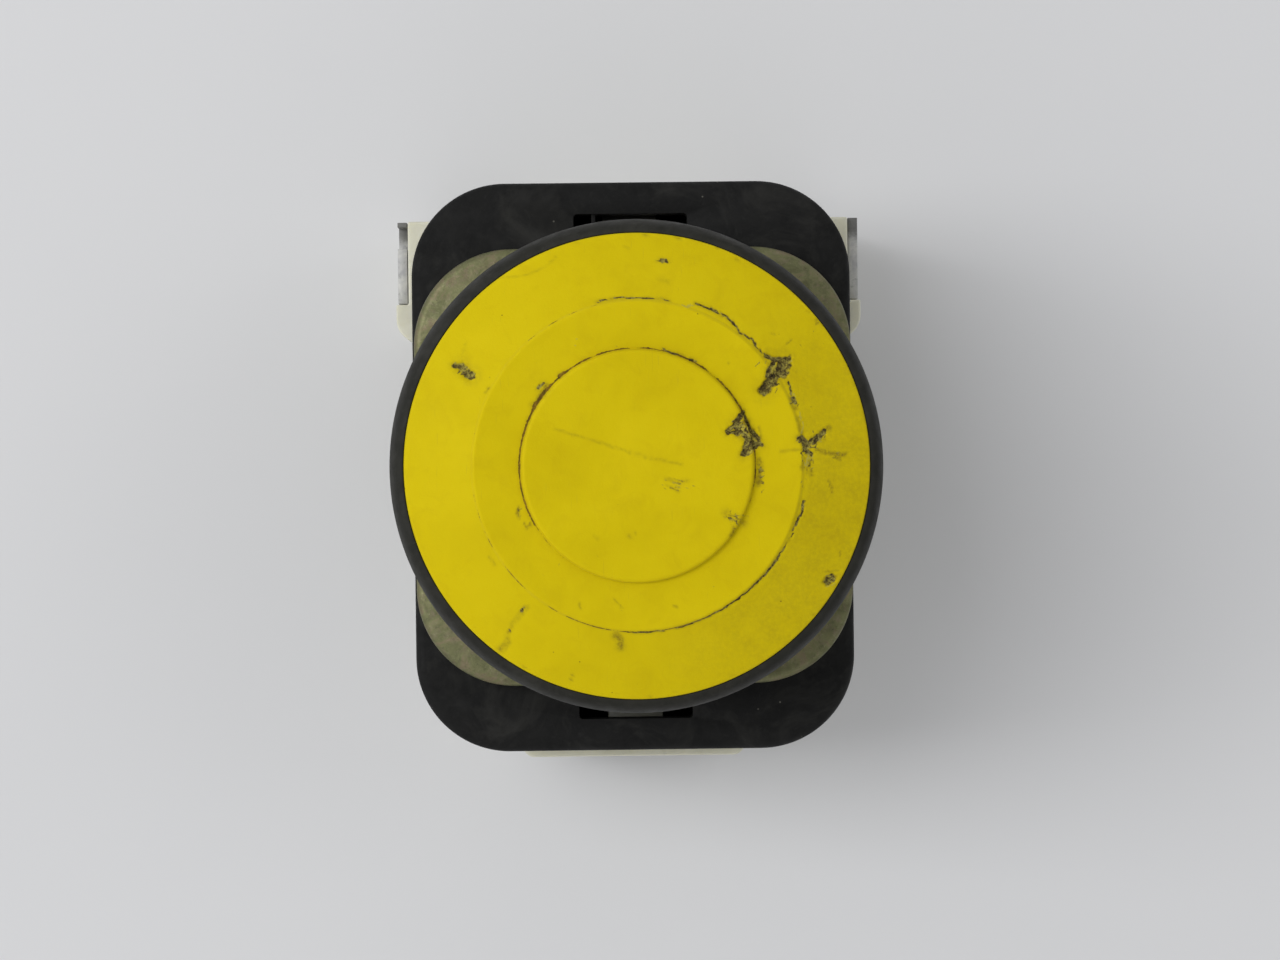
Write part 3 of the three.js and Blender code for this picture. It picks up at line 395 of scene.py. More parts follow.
def rounded(corners, steps=5):
    """A closed outline whose (x, y, radius) corners are filleted. A corner without a radius stays sharp."""
    out = []
    for i, corner in enumerate(corners):
        p = Vector(corner[:2])
        radius = corner[2] if len(corner) > 2 else 0
        a = Vector(corners[i - 1][:2]) - p
        b = Vector(corners[(i + 1) % len(corners)][:2]) - p
        angle = a.angle(b) if radius and min(a.length, b.length) >= 1e-6 else math.pi
        if angle > math.pi - 0.02:
            out.append((p.x, p.y))
            continue
        reach = min(radius / math.tan(angle / 2), 0.49 * a.length, 0.49 * b.length)
        radius = reach * math.tan(angle / 2)
        centre = p + (a.normalized() + b.normalized()).normalized() * (radius / math.sin(angle / 2))
        first = p + a.normalized() * reach - centre
        last = p + b.normalized() * reach - centre
        turn = math.pi - angle
        for k in range(steps + 1):
            t = k / steps
            v = (first * math.sin((1 - t) * turn) + last * math.sin(t * turn)) / math.sin(turn)
            out.append((centre.x + v.x, centre.y + v.y))
    return out


def lathe(name, outline, sides=128, x=0, y=0, angles=None):
    """A solid turned about Z from a closed (radius, z) outline."""
    loops = []
    for angle in angles or [TAU * k / sides for k in range(sides)]:
        c, s = math.cos(angle), math.sin(angle)
        loops.append([(x + r * c, y + r * s, z) for r, z in outline])
    return loft(name, loops, closed=True)


def peg(name, radius, low_z, high_z, sides, x=0, y=0):
    return lathe(name, [(0, low_z), (radius, low_z), (radius, high_z), (0, high_z)], sides, x, y)


def spaced(p, q, parts):
    """The points between p and q that cut the line into equal parts."""
    return [(p[0] + (q[0] - p[0]) * k / parts, p[1] + (q[1] - p[1]) * k / parts) for k in range(1, parts)]


def slab(name, x0, x1, y0, y1, z0, z1, radius=0, top=0, foot=0, steps=20):
    """A plate with rounded corners in plan, and rounded edges at its top and foot."""
    loops = []
    for edge, z, way in ((foot, z0, 1), (top, z1, -1)):
        rows = []
        for k in range(5 if edge else 1):
            angle = (math.pi / 2) * k / 4 if edge else math.pi / 2
            inset, rise = edge * (1 - math.sin(angle)), edge * (1 - math.cos(angle))
            fillet = max(radius - inset, 0.01) if radius else 0
            (left, right), (near, far) = (x0 + inset, x1 - inset), (y0 + inset, y1 - inset)
            corners = [(left, near, fillet), (right, near, fillet), (right, far, fillet), (left, far, fillet)]
            rows.append([(px, py, z + way * rise) for px, py in rounded(corners, steps)])
        loops += rows if way == 1 else rows[::-1]
    return loft(name, loops)


def tube(name, path, radius, sides=12):
    """A round wire along a path, with flat ends."""
    loops, across = [], None
    for i, p in enumerate(path):
        ahead = (Vector(path[min(i + 1, len(path) - 1)]) - Vector(path[max(i - 1, 0)])).normalized()
        if across is None:
            across = ahead.orthogonal()
        across = (across - ahead * across.dot(ahead)).normalized()
        other = ahead.cross(across)
        loops.append([tuple(Vector(p) + radius * (across * math.cos(TAU * k / sides)
                                                  + other * math.sin(TAU * k / sides)))
                      for k in range(sides)])
    return loft(name, loops)


def threaded(mesh, radius, low_z, high_z, pitch, depth, fade=None):
    """Cuts a helical thread into the outermost wall between two levels."""
    for v in mesh.vertices:
        r, z = v.co.xy.length / MM, v.co.z / MM
        if abs(r - radius) < 0.02 and low_z < z < high_z:
            turn = z / pitch - math.atan2(v.co.y, v.co.x) / TAU
            share = min(1, (z - low_z) / fade, (high_z - z) / fade) if fade else 1
            scale = 1 - share * depth * abs(2 * (turn % 1) - 1) / r
            v.co.x *= scale
            v.co.y *= scale


def turned(made, angle):
    made.data.transform(Matrix.Rotation(angle, 4, "Z"))
    return made


def bake(obj):
    """Applies the object's modifiers."""
    evaluated = obj.evaluated_get(bpy.context.evaluated_depsgraph_get())
    mesh = bpy.data.meshes.new_from_object(evaluated)
    obj.modifiers.clear()
    obj.data = mesh
    return obj


def combine(obj, way, *others):
    """Cuts the others from obj, or joins them to it, and removes them."""
    for other in others:
        step = obj.modifiers.new(way, "BOOLEAN")
        step.operation, step.object, step.solver = way, other, "MANIFOLD"
    bake(obj)
    for other in others:
        bpy.data.objects.remove(other)
    return obj


def soften(obj, width, segments=2, angle=32):
    """Rounds the sharp edges by width millimetres."""
    b = bmesh.new()
    b.from_mesh(obj.data)
    bmesh.ops.remove_doubles(b, verts=b.verts, dist=2e-6)
    bmesh.ops.dissolve_limit(b, angle_limit=math.radians(0.8), verts=b.verts, edges=b.edges)
    b.to_mesh(obj.data)
    b.free()
    edge = obj.modifiers.new("edge", "BEVEL")
    edge.width, edge.segments = width * MM, segments
    edge.limit_method, edge.angle_limit = "ANGLE", math.radians(angle)
    edge.use_clamp_overlap = True
    edge.miter_outer = "MITER_ARC"
    return bake(obj)


def settle(obj, *nodes, crease=38, finish=None):
    """Gives a piece its shading, its material and its body, and hides the CAD nodes that it stands for."""
    obj.data.shade_smooth()
    obj.data.set_sharp_from_angle(angle=math.radians(crease))
    obj.data.materials.clear()
    slot = SLOT[nodes[0]]
    obj.data.materials.append(finish or FINISHES[slot])
    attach(obj, BODY[nodes[0]])
    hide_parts(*nodes)
    return obj


def detailed(node, width, segments=2, finish=None):
    """A copy of a CAD node's shape with softened edges."""
    piece = link(node + "_piece", frame["nodes"][node].data.copy())
    made = soften(piece, width, segments)
    return settle(made, node, finish=finish)


# ---------- head

# what the yellow insert's top is made of, from its edge inwards
EDGE_ROUND = 0.25
BAND_FALL = 2.2
RING_EDGE, RING_STEP = 15.5, 0.3
DISC_EDGE, DISC_STEP, DISC_ROUND = 10.8, 0.8, 0.5
# above the stem's end, and the radius of the well for the head's screw
INSERT_SEAT, SCREW_WELL = 2.2, 4.6

# marks on the insert, placed in millimetres from the push axis. A path is x, y, x, y and so on.
# gouges and cracks: path, half-width, depth
GOUGES = [
    ((-16.3, 9.4, -15.8, 9, -15.3, 8.5), 0.42, 0.35), ((-16.9, 9.6, -16.4, 9.3), 0.2, 0.15),
    ((12.1, 10, 12.9, 9.7, 13.5, 9.7, 14.3, 9.8), 0.3, 0.4),
    ((13.6, 9.5, 13.4, 8.9, 12.8, 8.1, 12.2, 7.4, 11.8, 6.8), 0.5, 0.5), ((13.9, 9.3, 13.6, 8.5), 0.48, 0.4),
    ((12.6, 9.2, 12.2, 8.2), 0.3, 0.25), ((9.2, 3.5, 9.9, 3, 10.4, 2.2, 10.8, 1.9), 0.42, 0.25),
    ((10.2, 1.9, 10.3, 1.4), 0.36, 0.25), ((8.3, 3, 9.1, 3.9, 9.8, 4.8), 0.22, 0.3),
    ((8.5, 2.9, 9.6, 3, 10.5, 2.6), 0.18, 0.25), ((9.9, 4.6, 10.3, 3.6, 11.1, 2.4, 11.5, 1.8), 0.2, 0.3),
    ((10.3, 2.5, 9.9, 1.6, 9.8, 0.9), 0.24, 0.25), ((9.8, 0.9, 10.7, 1.5, 11.4, 1.8), 0.14, 0.2),
    ((15.1, 2.4, 15.8, 1.9, 16.5, 2.2, 17.4, 3), 0.28, 0.18),
    ((15.9, 1.9, 15.6, 1.3, 16.1, 0.9), 0.22, 0.18), ((17.6, -11, 18, -10.6), 0.36, 0.35),
    ((2.3, 19.1, 3, 19), 0.12, 0.06),
]
CRACKS = [
    ((5.6, 15, 7, 14.5, 8.4, 13.7, 9.4, 12.8), 0.1, 0.18),
    ((9.4, 12.8, 9.6, 12.2, 10.3, 11.9, 10.9, 11.6, 11.1, 10.9, 11.9, 10.2), 0.09, 0.16),
    ((-3.6, 15.25, -2.6, 15.45, -1.2, 15.6, -0.2, 15.55), 0.075, 0.1),
    ((-0.2, 15.55, 1.8, 15.5, 3.2, 15.3), 0.05, 0.08), ((14.1, 7.6, 14.4, 6.6, 14.8, 5.6), 0.08, 0.1),
    ((14.4, 6.2, 14.7, 5.6), 0.16, 0.12), ((15.4, -3.4, 15.2, -4.4, 14.6, -5.6), 0.12, 0.14),
    ((14.6, -5.6, 13.9, -7.2, 13.1, -8.3), 0.06, 0.1), ((13.1, -8.3, 12.4, -9.4, 11.4, -10.5), 0.1, 0.12),
    ((11.4, -10.5, 9.9, -11.9, 8, -13.2), 0.08, 0.12), ((8, -13.2, 5.6, -14.4, 3.4, -15.1), 0.06, 0.08),
    ((2.2, -15.3, 0.6, -15.4, -0.6, -15.45), 0.06, 0.08),
    ((-10.5, -12.9, -11.4, -13.9, -11.9, -14.7), 0.06, 0.12), ((-12, -15.1, -12.4, -15.9), 0.05, 0.08),
    ((2.5, 10.75, 3.4, 10.4, 4.4, 10.1), 0.08, 0.08), ((5, 9.8, 5.6, 9.5), 0.1, 0.08),
    ((-9.1, 7.3, -8.6, 7.8), 0.13, 0.06),
]
# torn fibres: x, y, how many, spread in x and y, length, direction in degrees, share of dark ones, strength
FIBRES = [
    (13.1, 9.3, 26, 1, 0.5, 0.9, 75, 0.8, 0.8), (12.6, 8, 20, 0.5, 0.9, 0.8, 50, 0.85, 0.7),
    (13.9, 9, 14, 0.5, 0.6, 0.7, 20, 0.6, 0.6), (9.6, 3.7, 16, 0.5, 0.7, 0.8, 60, 0.6, 0.6),
    (10.3, 2.5, 20, 0.7, 0.5, 0.8, 130, 0.45, 0.5), (10.5, 1.5, 12, 0.5, 0.4, 0.7, 60, 0.6, 0.5),
    (-15.9, 8.9, 16, 0.6, 0.4, 0.5, 140, 0.85, 0.7), (15.9, 1.9, 34, 0.9, 0.6, 1, 35, 0.85, 0.6),
    (16.9, 2.6, 18, 0.7, 0.5, 1, 42, 0.9, 0.5), (15.9, 0.2, 26, 0.4, 0.9, 0.7, 80, 0.75, 0.5),
    (17.8, -10.8, 14, 0.4, 0.3, 0.6, 30, 0.85, 0.7), (18.7, 0.8, 16, 0.6, 0.2, 0.8, 5, 1, 0.42),
    (14.6, 5.8, 8, 0.3, 0.5, 0.6, 70, 0.8, 0.6), (11.4, -0.8, 16, 0.2, 0.9, 0.7, 85, 1, 0.55),
    (3.6, -1.8, 22, 0.9, 0.5, 0.9, 20, 1, 0.45), (8.9, -5, 22, 0.8, 0.6, 1, 150, 1, 0.45),
    (2.7, 19, 12, 0.5, 0.2, 0.5, 170, 1, 0.55), (5, 14.8, 6, 0.6, 0.2, 0.6, 160, 0.2, 0.3),
    (15.6, -2.2, 10, 0.3, 0.9, 0.6, 80, 1, 0.4), (-11, -4, 8, 0.2, 0.5, 0.4, 80, 1, 0.5),
    (5, -11, 8, 5, 3, 0.5, 30, 1, 0.34), (-4, -8, 10, 5, 4, 0.6, 150, 1, 0.34),
    (16, 12, 8, 2, 2, 0.5, 60, 1, 0.36), (-6, 12, 6, 4, 2, 0.5, 20, 1, 0.34),
]
# stains: path, half-width, strength
SMEARS = [
    ((9.2, 3.3, 10.1, 2.7), 0.6, 0.8), ((10.4, 2, 10.9, 1.9), 0.5, 0.75),
    ((9.9, 4.1, 10.5, 3.2), 0.35, 0.85), ((13.3, 9, 12.6, 7.8), 0.62, 0.85),
    ((13.6, 9.4, 14, 9.1), 0.55, 0.8), ((14.3, 6.2, 14.7, 5.2), 0.3, 0.6),
    ((15, 4.2, 15.3, 2.8), 0.28, 0.55), ((15.9, 2, 16.6, 2.4), 0.55, 0.55),
    ((15.7, 0.4, 15.9, -0.8), 0.35, 0.5), ((-16.1, 9.1, -15.5, 8.7), 0.35, 0.75),
    ((17.5, -11, 18.1, -10.6), 0.45, 0.75), ((11.3, 0.4, 11.35, -0.6, 11.15, -1.8), 0.28, 0.8),
    ((-2.2, -15.7, -1.8, -16, -1.8, -16.7), 0.36, 0.85),
    ((-10.2, -12.9, -11.3, -13.9, -11.9, -14.8, -12.4, -15.9), 0.13, 0.65),
    ((-12.3, 17.7, -10.7, 17.75, -9.4, 18.1, -8.1, 18.8, -7.3, 19.6), 0.1, 0.3),
    ((-12.3, -16.3, -13, -16.9), 0.3, 0.65), ((15.9, 2, 17.8, 3.3), 0.38, 0.72),
    ((16, 1.9, 17.4, 2.2), 0.28, 0.5), ((16.6, 1.3, 18.2, 0.9, 19.4, 0.9), 0.26, 0.72),
    ((18.4, 0.8, 18.9, 0.4), 0.3, 0.72), ((15.4, 1.4, 13.3, 1.2), 0.16, 0.35),
    ((15.8, 0.8, 16.1, -1), 0.28, 0.7), ((15.6, 0.6, 15.2, -0.4), 0.2, 0.55),
    ((15.4, 2.4, 15, 4.2), 0.16, 0.45), ((17.8, -1.6, 18.1, -2.6), 0.17, 0.95),
    ((8.1, -4.4, 9.8, -5.4), 0.42, 0.4), ((8.8, -5.8, 8.6, -6.5), 0.2, 0.7),
    ((2.6, -1.2, 3.4, -1.5, 4.6, -1.4), 0.2, 0.35), ((2.8, -1.9, 3.8, -2.4), 0.14, 0.4),
    ((-7.6, 3.5, -4, 2.4, 0.4, 0.9, 4.1, 0.1), 0.14, 0.3), ((-1.1, -6.6, -0.2, -6.3), 0.12, 0.45),
    ((-4.1, -6.3, -3.6, -6.6), 0.1, 0.4), ((-11.1, -3.7, -11.2, -4.2, -11, -4.7), 0.13, 0.75),
    ((-10.5, -5.2, -10.3, -5.6, -9.9, -5.4, -10, -5.1), 0.11, 0.8), ((2.3, 17.3, 3, 17.1), 0.24, 0.25),
    ((-9.1, 6.3, -8.4, 7.5), 0.28, 0.8), ((13.9, 11.1, 14.5, 11.6), 0.09, 0.65),
    ((16.9, 13.1, 17, 13.2), 0.13, 0.75), ((-5.5, -12.6, -5.4, -13.2), 0.1, 0.55),
    ((-2.4, -12.2, -1.6, -13.1), 0.09, 0.4), ((3.3, -13, 3.5, -13.1), 0.11, 0.8),
    ((13.4, -13.8, 14, -14.4), 0.1, 0.35), ((-6.2, -19.3, -6.4, -20.4), 0.07, 0.65),
    ((18.8, -8.2, 18.8, -8.6), 0.1, 0.65), ((-14, 7, -13.7, 7.4), 0.13, 0.65),
    ((-16.2, 10.2, -15.8, 11.6), 0.12, 0.25), ((-13.8, -8.3, -13.3, -9), 0.12, 0.35),
    ((-0.9, 20.4, -0.6, 20.3), 0.12, 0.35), ((17.2, -10, 18.6, -10), 0.14, 0.5),
    ((12.4, 12.2, 13, 12.1), 0.08, 0.4), ((8.6, 9.4, 8.5, 9.5), 0.1, 0.55),
    ((14.2, 8.9, 14.9, 8.6), 0.3, 0.3), ((11.3, 3.5, 11.6, 2.2), 0.12, 0.6),
    ((12.2, 10.6, 13.9, 10.5), 0.35, 0.25),
]
# pale torn lips: path, half-width
TORN = [
    ((4.3, 14.9, 4.8, 14.6, 5.4, 14.8), 0.1), ((9.6, 3.3, 10.3, 2.7, 10.9, 2.2), 0.13),
    ((15, 4.9, 15.4, 3.6, 15.2, 2.8), 0.12), ((13.9, 9, 14.4, 9.6), 0.12), ((12.8, 9.2, 12.4, 8.3), 0.1),
    ((-15.9, 9, -15.5, 9.3), 0.09), ((15.9, 1, 15.7, 0.2), 0.12), ((-5.6, 11.1, -5.4, 12), 0.05),
    ((17.4, -11.5, 18.3, -11.2), 0.1),
]
# half-width in millimetres of the dirt in the corner beside the disc, by angle in degrees
DISC_DIRT = [(-180, 0.09), (-170, 0.11), (-155, 0.08), (-140, 0.03), (-100, 0.015), (-30, 0.015), (-8, 0.06),
             (8, 0.08), (22, 0.11), (36, 0.09), (48, 0.05), (60, 0.1), (72, 0.05), (85, 0.06), (100, 0.08),
             (112, 0.11), (125, 0.13), (136, 0.24), (144, 0.29), (152, 0.17), (165, 0.11), (180, 0.1)]
# and of the line on the outer step
RING_DIRT = [(-180, 0.025), (-150, 0.04), (-125, 0.04), (-110, 0.065), (-95, 0.08), (-60, 0.065),
             (-38, 0.03), (-25, 0), (98, 0), (106, 0.04), (120, 0.035), (140, 0.022), (180, 0.025)]


def ripple(x, y, size, seed):
    """Smooth seeded unevenness between about -1 and 1, with features of the given size."""
    dice = random.Random(seed)
    total = np.zeros_like(x)
    for _ in range(7):
        angle, phase = dice.uniform(0, TAU), dice.uniform(0, TAU)
        step = TAU / (size * dice.uniform(0.7, 1.6))
        total += np.sin(step * (x * math.cos(angle) + y * math.sin(angle)) + phase)
    return total / 3.5


def warped(places, x, y, reach, size, *seeds):
    """The places pushed about by up to the reach, by the ripples at x and y."""
    return [place + reach * ripple(x, y, size, seed) for place, seed in zip(places, seeds)]


def distance(path, x, y):
    """How far each point is from a path given as x, y, x, y and so on."""
    best = np.full(x.shape, 1e9)
    corners = list(zip(path[::2], path[1::2]))
    for (ax, ay), (bx, by) in zip(corners, corners[1:]):
        dx, dy = bx - ax, by - ay
        t = np.clip(((x - ax) * dx + (y - ay) * dy) / (dx * dx + dy * dy + 1e-9), 0, 1)
        best = np.minimum(best, np.hypot(x - ax - t * dx, y - ay - t * dy))
    return best


def insert_angles():
    """Angles round the insert, three times as close together on the scarred right side."""
    marks = [-math.pi, math.radians(-62), math.radians(72), math.pi]
    counts = [126, 360, 126]
    return [a + (b - a) * k / n for a, b, n in zip(marks, marks[1:], counts) for k in range(n)]


def fibres():
    """Short seeded strokes round each gouge: (path, half-width, dark, strength)."""
    dice = random.Random(21)
    made = []
    for x, y, count, across, along, length, direction, dark, strength in FIBRES:
        for _ in range(count):
            px, py = x + dice.gauss(0, across * 0.6), y + dice.gauss(0, along * 0.6)
            angle = math.radians(direction + dice.gauss(0, 32))
            reach = length * dice.uniform(0.25, 0.75)
            dx, dy = reach * math.cos(angle), reach * math.sin(angle)
            path = (px - dx / 2, py - dy / 2, px + dx / 2, py + dy / 2)
            made.append((path, dice.uniform(0.045, 0.1), dice.random() < dark, strength))
    return made


def head_insert():
    high = box("head_insert")[1]
    radius, top = high.x, high.z
    seat, roof = box("stem")[1].z + INSERT_SEAT, box("head_screw")[1].z + 0.3
    middle = top - DISC_STEP
    band = middle - RING_STEP
    # half a section, from the middle of the top outwards and back underneath
    outline = rounded([
        (0, top), (DISC_EDGE, top - 0.03, DISC_ROUND), (DISC_EDGE, middle, 0.16),
        (RING_EDGE - RING_STEP, middle, 0.3), (RING_EDGE, band, 0.25), (radius, band - BAND_FALL, EDGE_ROUND),
        (radius, seat, 0.15), (SCREW_WELL, seat, 0.2), (SCREW_WELL, roof), (0, roof),
    ], 6)
    above = seat + 0.7
    dense = []
    for i, p in enumerate(outline):
        q = outline[(i + 1) % len(outline)]
        dense.append(p)
        if min(p[1], q[1]) > above and p[0] < q[0] + 1e-9:
            if q[0] - p[0] > 5 and p[0] < 1:  # the disc's plain middle, then its marked edge
                steps = [8 * k / 22 for k in range(1, 23)]
                steps += [8 + (q[0] - 8) * k / 19 for k in range(1, 19)]
                dense += [(t, p[1] + (q[1] - p[1]) * t / q[0]) for t in steps]
            else:
                dense += spaced(p, q, math.ceil(math.dist(p, q) / 0.16))
    made = lathe("head_insert_piece", dense, angles=insert_angles())
    mesh = made.data
    co = np.empty(len(mesh.vertices) * 3, np.float32)
    mesh.vertices.foreach_get("co", co)
    x, y, z = (co.reshape(-1, 3).astype(float) / MM).T
    up = z > above
    soft = warped((x, y), x, y, 0.05, 1.1, 3, 5)
    soft = warped(soft, x, y, 0.035, 0.45, 4, 6)
    wild = warped(soft, x, y, 0.1, 0.9, 7, 8)
    scar, stain_and_shade, pale, dirt, drop = (np.zeros(len(x)) for _ in range(5))
    for kind, places in ((GOUGES, wild), (CRACKS, soft)):
        for path, width, depth in kind:
            near = distance(path, *places)
            inside = np.clip(1.3 - near / width, 0, 1)
            scar = np.maximum(scar, inside)
            drop = np.maximum(drop, depth * np.clip(inside * 1.4, 0, 1))
            lip = np.exp(-((near - 1.5 * width) / (0.35 * width + 0.06)) ** 2)
            drop -= 0.22 * depth * lip * (near > width)
            stain_and_shade = np.maximum(stain_and_shade, 0.35 * np.exp(-(near / (1.7 * width + 0.08)) ** 2))
    for path, width, dark, strength in fibres():
        near = distance(path, *soft)
        inside = np.clip(1.25 - near / width, 0, 1)
        if dark:
            scar = np.maximum(scar, strength * inside)
        else:
            pale = np.maximum(pale, (0.4 + strength * inside) * (inside > 0))
            scar *= 1 - 0.6 * inside
        drop += (0.06 if dark else -0.05) * strength * inside
    for path, width, share in SMEARS:
        near = distance(path, *soft)
        stain_and_shade = np.maximum(stain_and_shade, share * np.exp(-(near / width) ** 2))
    for path, width in TORN:
        near = distance(path, *soft)
        inside = np.clip(1.2 - near / width, 0, 1)
        pale = np.maximum(pale, inside)
        scar *= 1 - 0.6 * inside
        drop -= 0.06 * np.exp(-(near / width) ** 2)
    # dirt packed in the corner beside the disc, and a line of it on the outer step
    r, angle = np.hypot(x, y), np.degrees(np.arctan2(y, x))
    patchy = np.clip(0.85 + 0.5 * ripple(x, y, 1.5, 11), 0.2, 1.4)
    for table, place, hard in ((DISC_DIRT, DISC_EDGE + 0.1, 0.7), (RING_DIRT, RING_EDGE - 0.15, 0.66)):
        width = np.interp(angle, *zip(*table)) * patchy
        near = np.abs(r - place - 0.4 * width)
        packed = np.clip(1.25 - near / (width + 0.01), 0, 1) * np.clip(width / 0.05, 0, 1)
        dirt = np.maximum(dirt, hard * packed)
        halo = np.exp(-(near / (1.6 * width + 0.05)) ** 2)
        stain_and_shade = np.maximum(stain_and_shade, np.clip(1.6 * width, 0, 0.5) * halo)
    # painted shade: the right of the band, which faces away from the light, is darkened a little
    tone_mask = np.clip((r - 15.3) / 0.8, 0, 1) * np.clip(np.cos(np.radians(angle + 18)) * 1.6 - 0.5, 0, 1)
    stain_and_shade = np.maximum(stain_and_shade, tone_mask * (0.21 + 0.05 * ripple(x, y, 2.5, 12)))
    # the edge is nicked here and there
    nick = np.clip(ripple(x, y, 1.1, 13) - 0.75, 0, 1) * np.exp(-((r - radius + 0.2) / 0.25) ** 2)
    drop += 0.2 * nick
    stain_and_shade = np.maximum(stain_and_shade, np.clip(0.6 * nick, 0, 0.4))
    sag = 0.012 * ripple(x, y, 7, 14) + 0.004 * ripple(x, y, 2, 15)
    z = np.where(up, np.minimum(z - drop + sag, top), z)
    mesh.vertices.foreach_set("co", (np.stack([x, y, z], 1) * MM).astype(np.float32).ravel())
    for name, values in (("scar", scar), ("stain_and_shade", stain_and_shade), ("pale", pale), ("dirt", dirt)):
        layer = mesh.attributes.new(name, "FLOAT", "POINT")
        layer.data.foreach_set("value", np.where(up, values, 0).astype(np.float32))
    mesh.update()
    return settle(made, "head_insert", crease=55)


def head_cap():
    low, high = box("head_cap")
    radius, rim_top, skirt_end = high.x, high.z, low.z
    ceiling = box("stem")[1].z
    rim_level, seat, gap = ceiling - 1, ceiling + INSERT_SEAT, box("head_insert")[1].x + 0.03
    skirt, inner, hub, socket = radius - 0.95, radius - 3.05, 7.55, STEM_BORE
    hub_end, well, floor, hole = ceiling - 4.4, SCREW_WELL, ceiling + 0.8, SCREW_HOLE
    outline = [(inner, skirt_end, 0.35), (skirt, skirt_end, 0.5), (skirt, rim_level - 1.6, 0.5),
               (radius - 0.06, rim_level - 0.9, 0.6), (radius, rim_level + 0.6, 0.8)]
    for k in range(1, 7):
        angle = (math.pi / 2) * k / 7
        outline.append((radius - 1.25 * (1 - math.cos(angle)),
                        rim_level + 0.6 + (rim_top - rim_level - 0.6) * math.sin(angle)))
    outline += [(gap, rim_top, 0.1), (gap, seat), (well, seat, 0.2),
                (well, floor), (hole, floor), (hole, ceiling), (socket, ceiling), (socket, hub_end, 0.2),
                (hub, hub_end, 0.3), (hub, ceiling, 0.5), (inner, ceiling, 0.8)]
    made = lathe("head_cap_piece", rounded(outline, 4), 192)
    ribs = [turned(slab("rib", hub - 0.5, inner + 0.5, -0.6, 0.6, ceiling - 1.6, ceiling + 1.1),
                   TAU * k / 6) for k in range(6)]
    return settle(combine(made, "UNION", *ribs), "head_cap", crease=42)


def screw(node, shank, head, height, up=False, pitch=0.7, thin=False):
    """A slotted screw: threaded shank, domed head with a rounded rim, and a slot."""
    low, high = box(node)
    x, y = (low.x + high.x) / 2, (low.y + high.y) / 2
    length = high.z - low.z - height
    dome = [(head, 0, 0.12), (head, height if thin else 0.62 * height, 0.25)]
    if not thin:
        dome += [(0.93 * head, 0.8 * height), (0.74 * head, 0.94 * height), (0.45 * head, 0.99 * height)]
    dome = [(shank, 0)] + rounded([(0, 0)] + dome + [(0, height)], 4)[1:]
    foot = [(0, -length), (0.55 * shank, -length), (shank - 0.12, -length + 0.45)]
    count = max(6, int((length - 1) / pitch * 6))
    thread = [(shank, -length + 0.5 + (length - 1) * k / count) for k in range(count + 1)]
    made = lathe(node + "_piece", foot + thread + dome, 40)
    threaded(made.data, shank, -length + 0.49, -0.45, pitch, 0.26)
    width, depth = 0.9, (0.45 if thin else 0.9)
    cutter = slab("slot", -head - 1, head + 1, -width / 2, width / 2, height - depth, height + 1)
    turned(cutter, 0.9 if node.endswith(("left", "lower")) else -0.35)
    combine(made, "DIFFERENCE", cutter)
    place = Matrix.Translation(Vector((x, y, high.z - height if up else low.z + height)) * MM)
    made.data.transform(place if up else place @ Matrix.Rotation(math.pi, 4, "X"))
    return settle(made, node, crease=34)


DETENT_WIRE = 0.7  # the hairpin's radius


def stem():
    low, high = box("stem")
    radius, detent = high.x, box("detent_spring")[0].z + DETENT_WIRE
    clip = box("stem_clip")[0].z
    deep, half, hole = radius - 0.9, 0.9, SCREW_HOLE

    def groove(z):
        return [(radius, z - half - 0.52, 0.15), (deep, z - half, 0.3), (deep, z + half, 0.3),
                (radius, z + half + 0.52, 0.15)]

    outline = [(0, low.z + 8), (hole, low.z + 8), (hole, low.z, 0.2), (radius, low.z, 0.4),
               (radius, clip - 0.1), (radius - 1, clip - 0.1), (radius - 1, clip + 0.9), (radius, clip + 0.9)]
    outline += groove(detent) + groove(detent + TRAVEL)
    outline += [(radius, high.z, 0.3), (hole, high.z), (hole, high.z - 9), (0, high.z - 9)]
    return settle(lathe("stem_piece", rounded(outline, 3), 64), "stem", crease=34)


def washer(node, inner, outer, low_z, high_z, edge=0.1):
    """A ring with rounded edges."""
    outline = rounded([(inner, low_z, edge), (outer, low_z, edge), (outer, high_z, edge),
                       (inner, high_z, edge)], 3)
    return lathe(node + "_piece", outline, 96)


# ---------- operator base and its rings


def operator_base():
    low, high = box("operator_base")
    half, seat = high.x, box("panel_gasket")[0].z
    radius, bore = COLLAR_RADIUS, 12.8
    flange = slab("operator_base_piece", -half, half, -half, half, low.z, seat, 9.7, 0.7, 0.5, 28)
    wall = [(0, low.z + 1.2), (radius, low.z + 1.2), (radius, seat + 0.05)]
    rows = int((high.z - 0.5 - seat) / 0.125)
    wall += [(radius, seat + 0.1 + (high.z - 0.6 - seat) * k / rows) for k in range(1, rows + 1)]
    wall += [(radius - 0.45, high.z), (bore + 0.2, high.z), (bore, high.z - 0.2), (bore, seat), (0, seat)]
    collar = lathe("collar", wall, 192)
    threaded(collar.data, radius, seat + 0.3, high.z - 0.3, 1.27, 0.62, fade=0.4)
    guide = peg("guide", 7.3, low.z - 1, seat + 1, 64)
    key = slab("key", -1.6, 1.6, radius - 1.1, radius + 1, seat, high.z + 1)
    cuts = [guide, key]
    for sign, screw_place in zip((-1, 1), CARRIER_SCREWS):
        cuts.append(peg("tap", 1.55, low.z - 1, seat - 1, 24, sign * 10.2, 0))
        cuts.append(peg("tap", CARRIER_HOLE, low.z - 1, seat - 1, 24, *screw_place))
    combine(flange, "UNION", collar)
    combine(flange, "DIFFERENCE", *cuts)
    return settle(flange, "operator_base", crease=32)


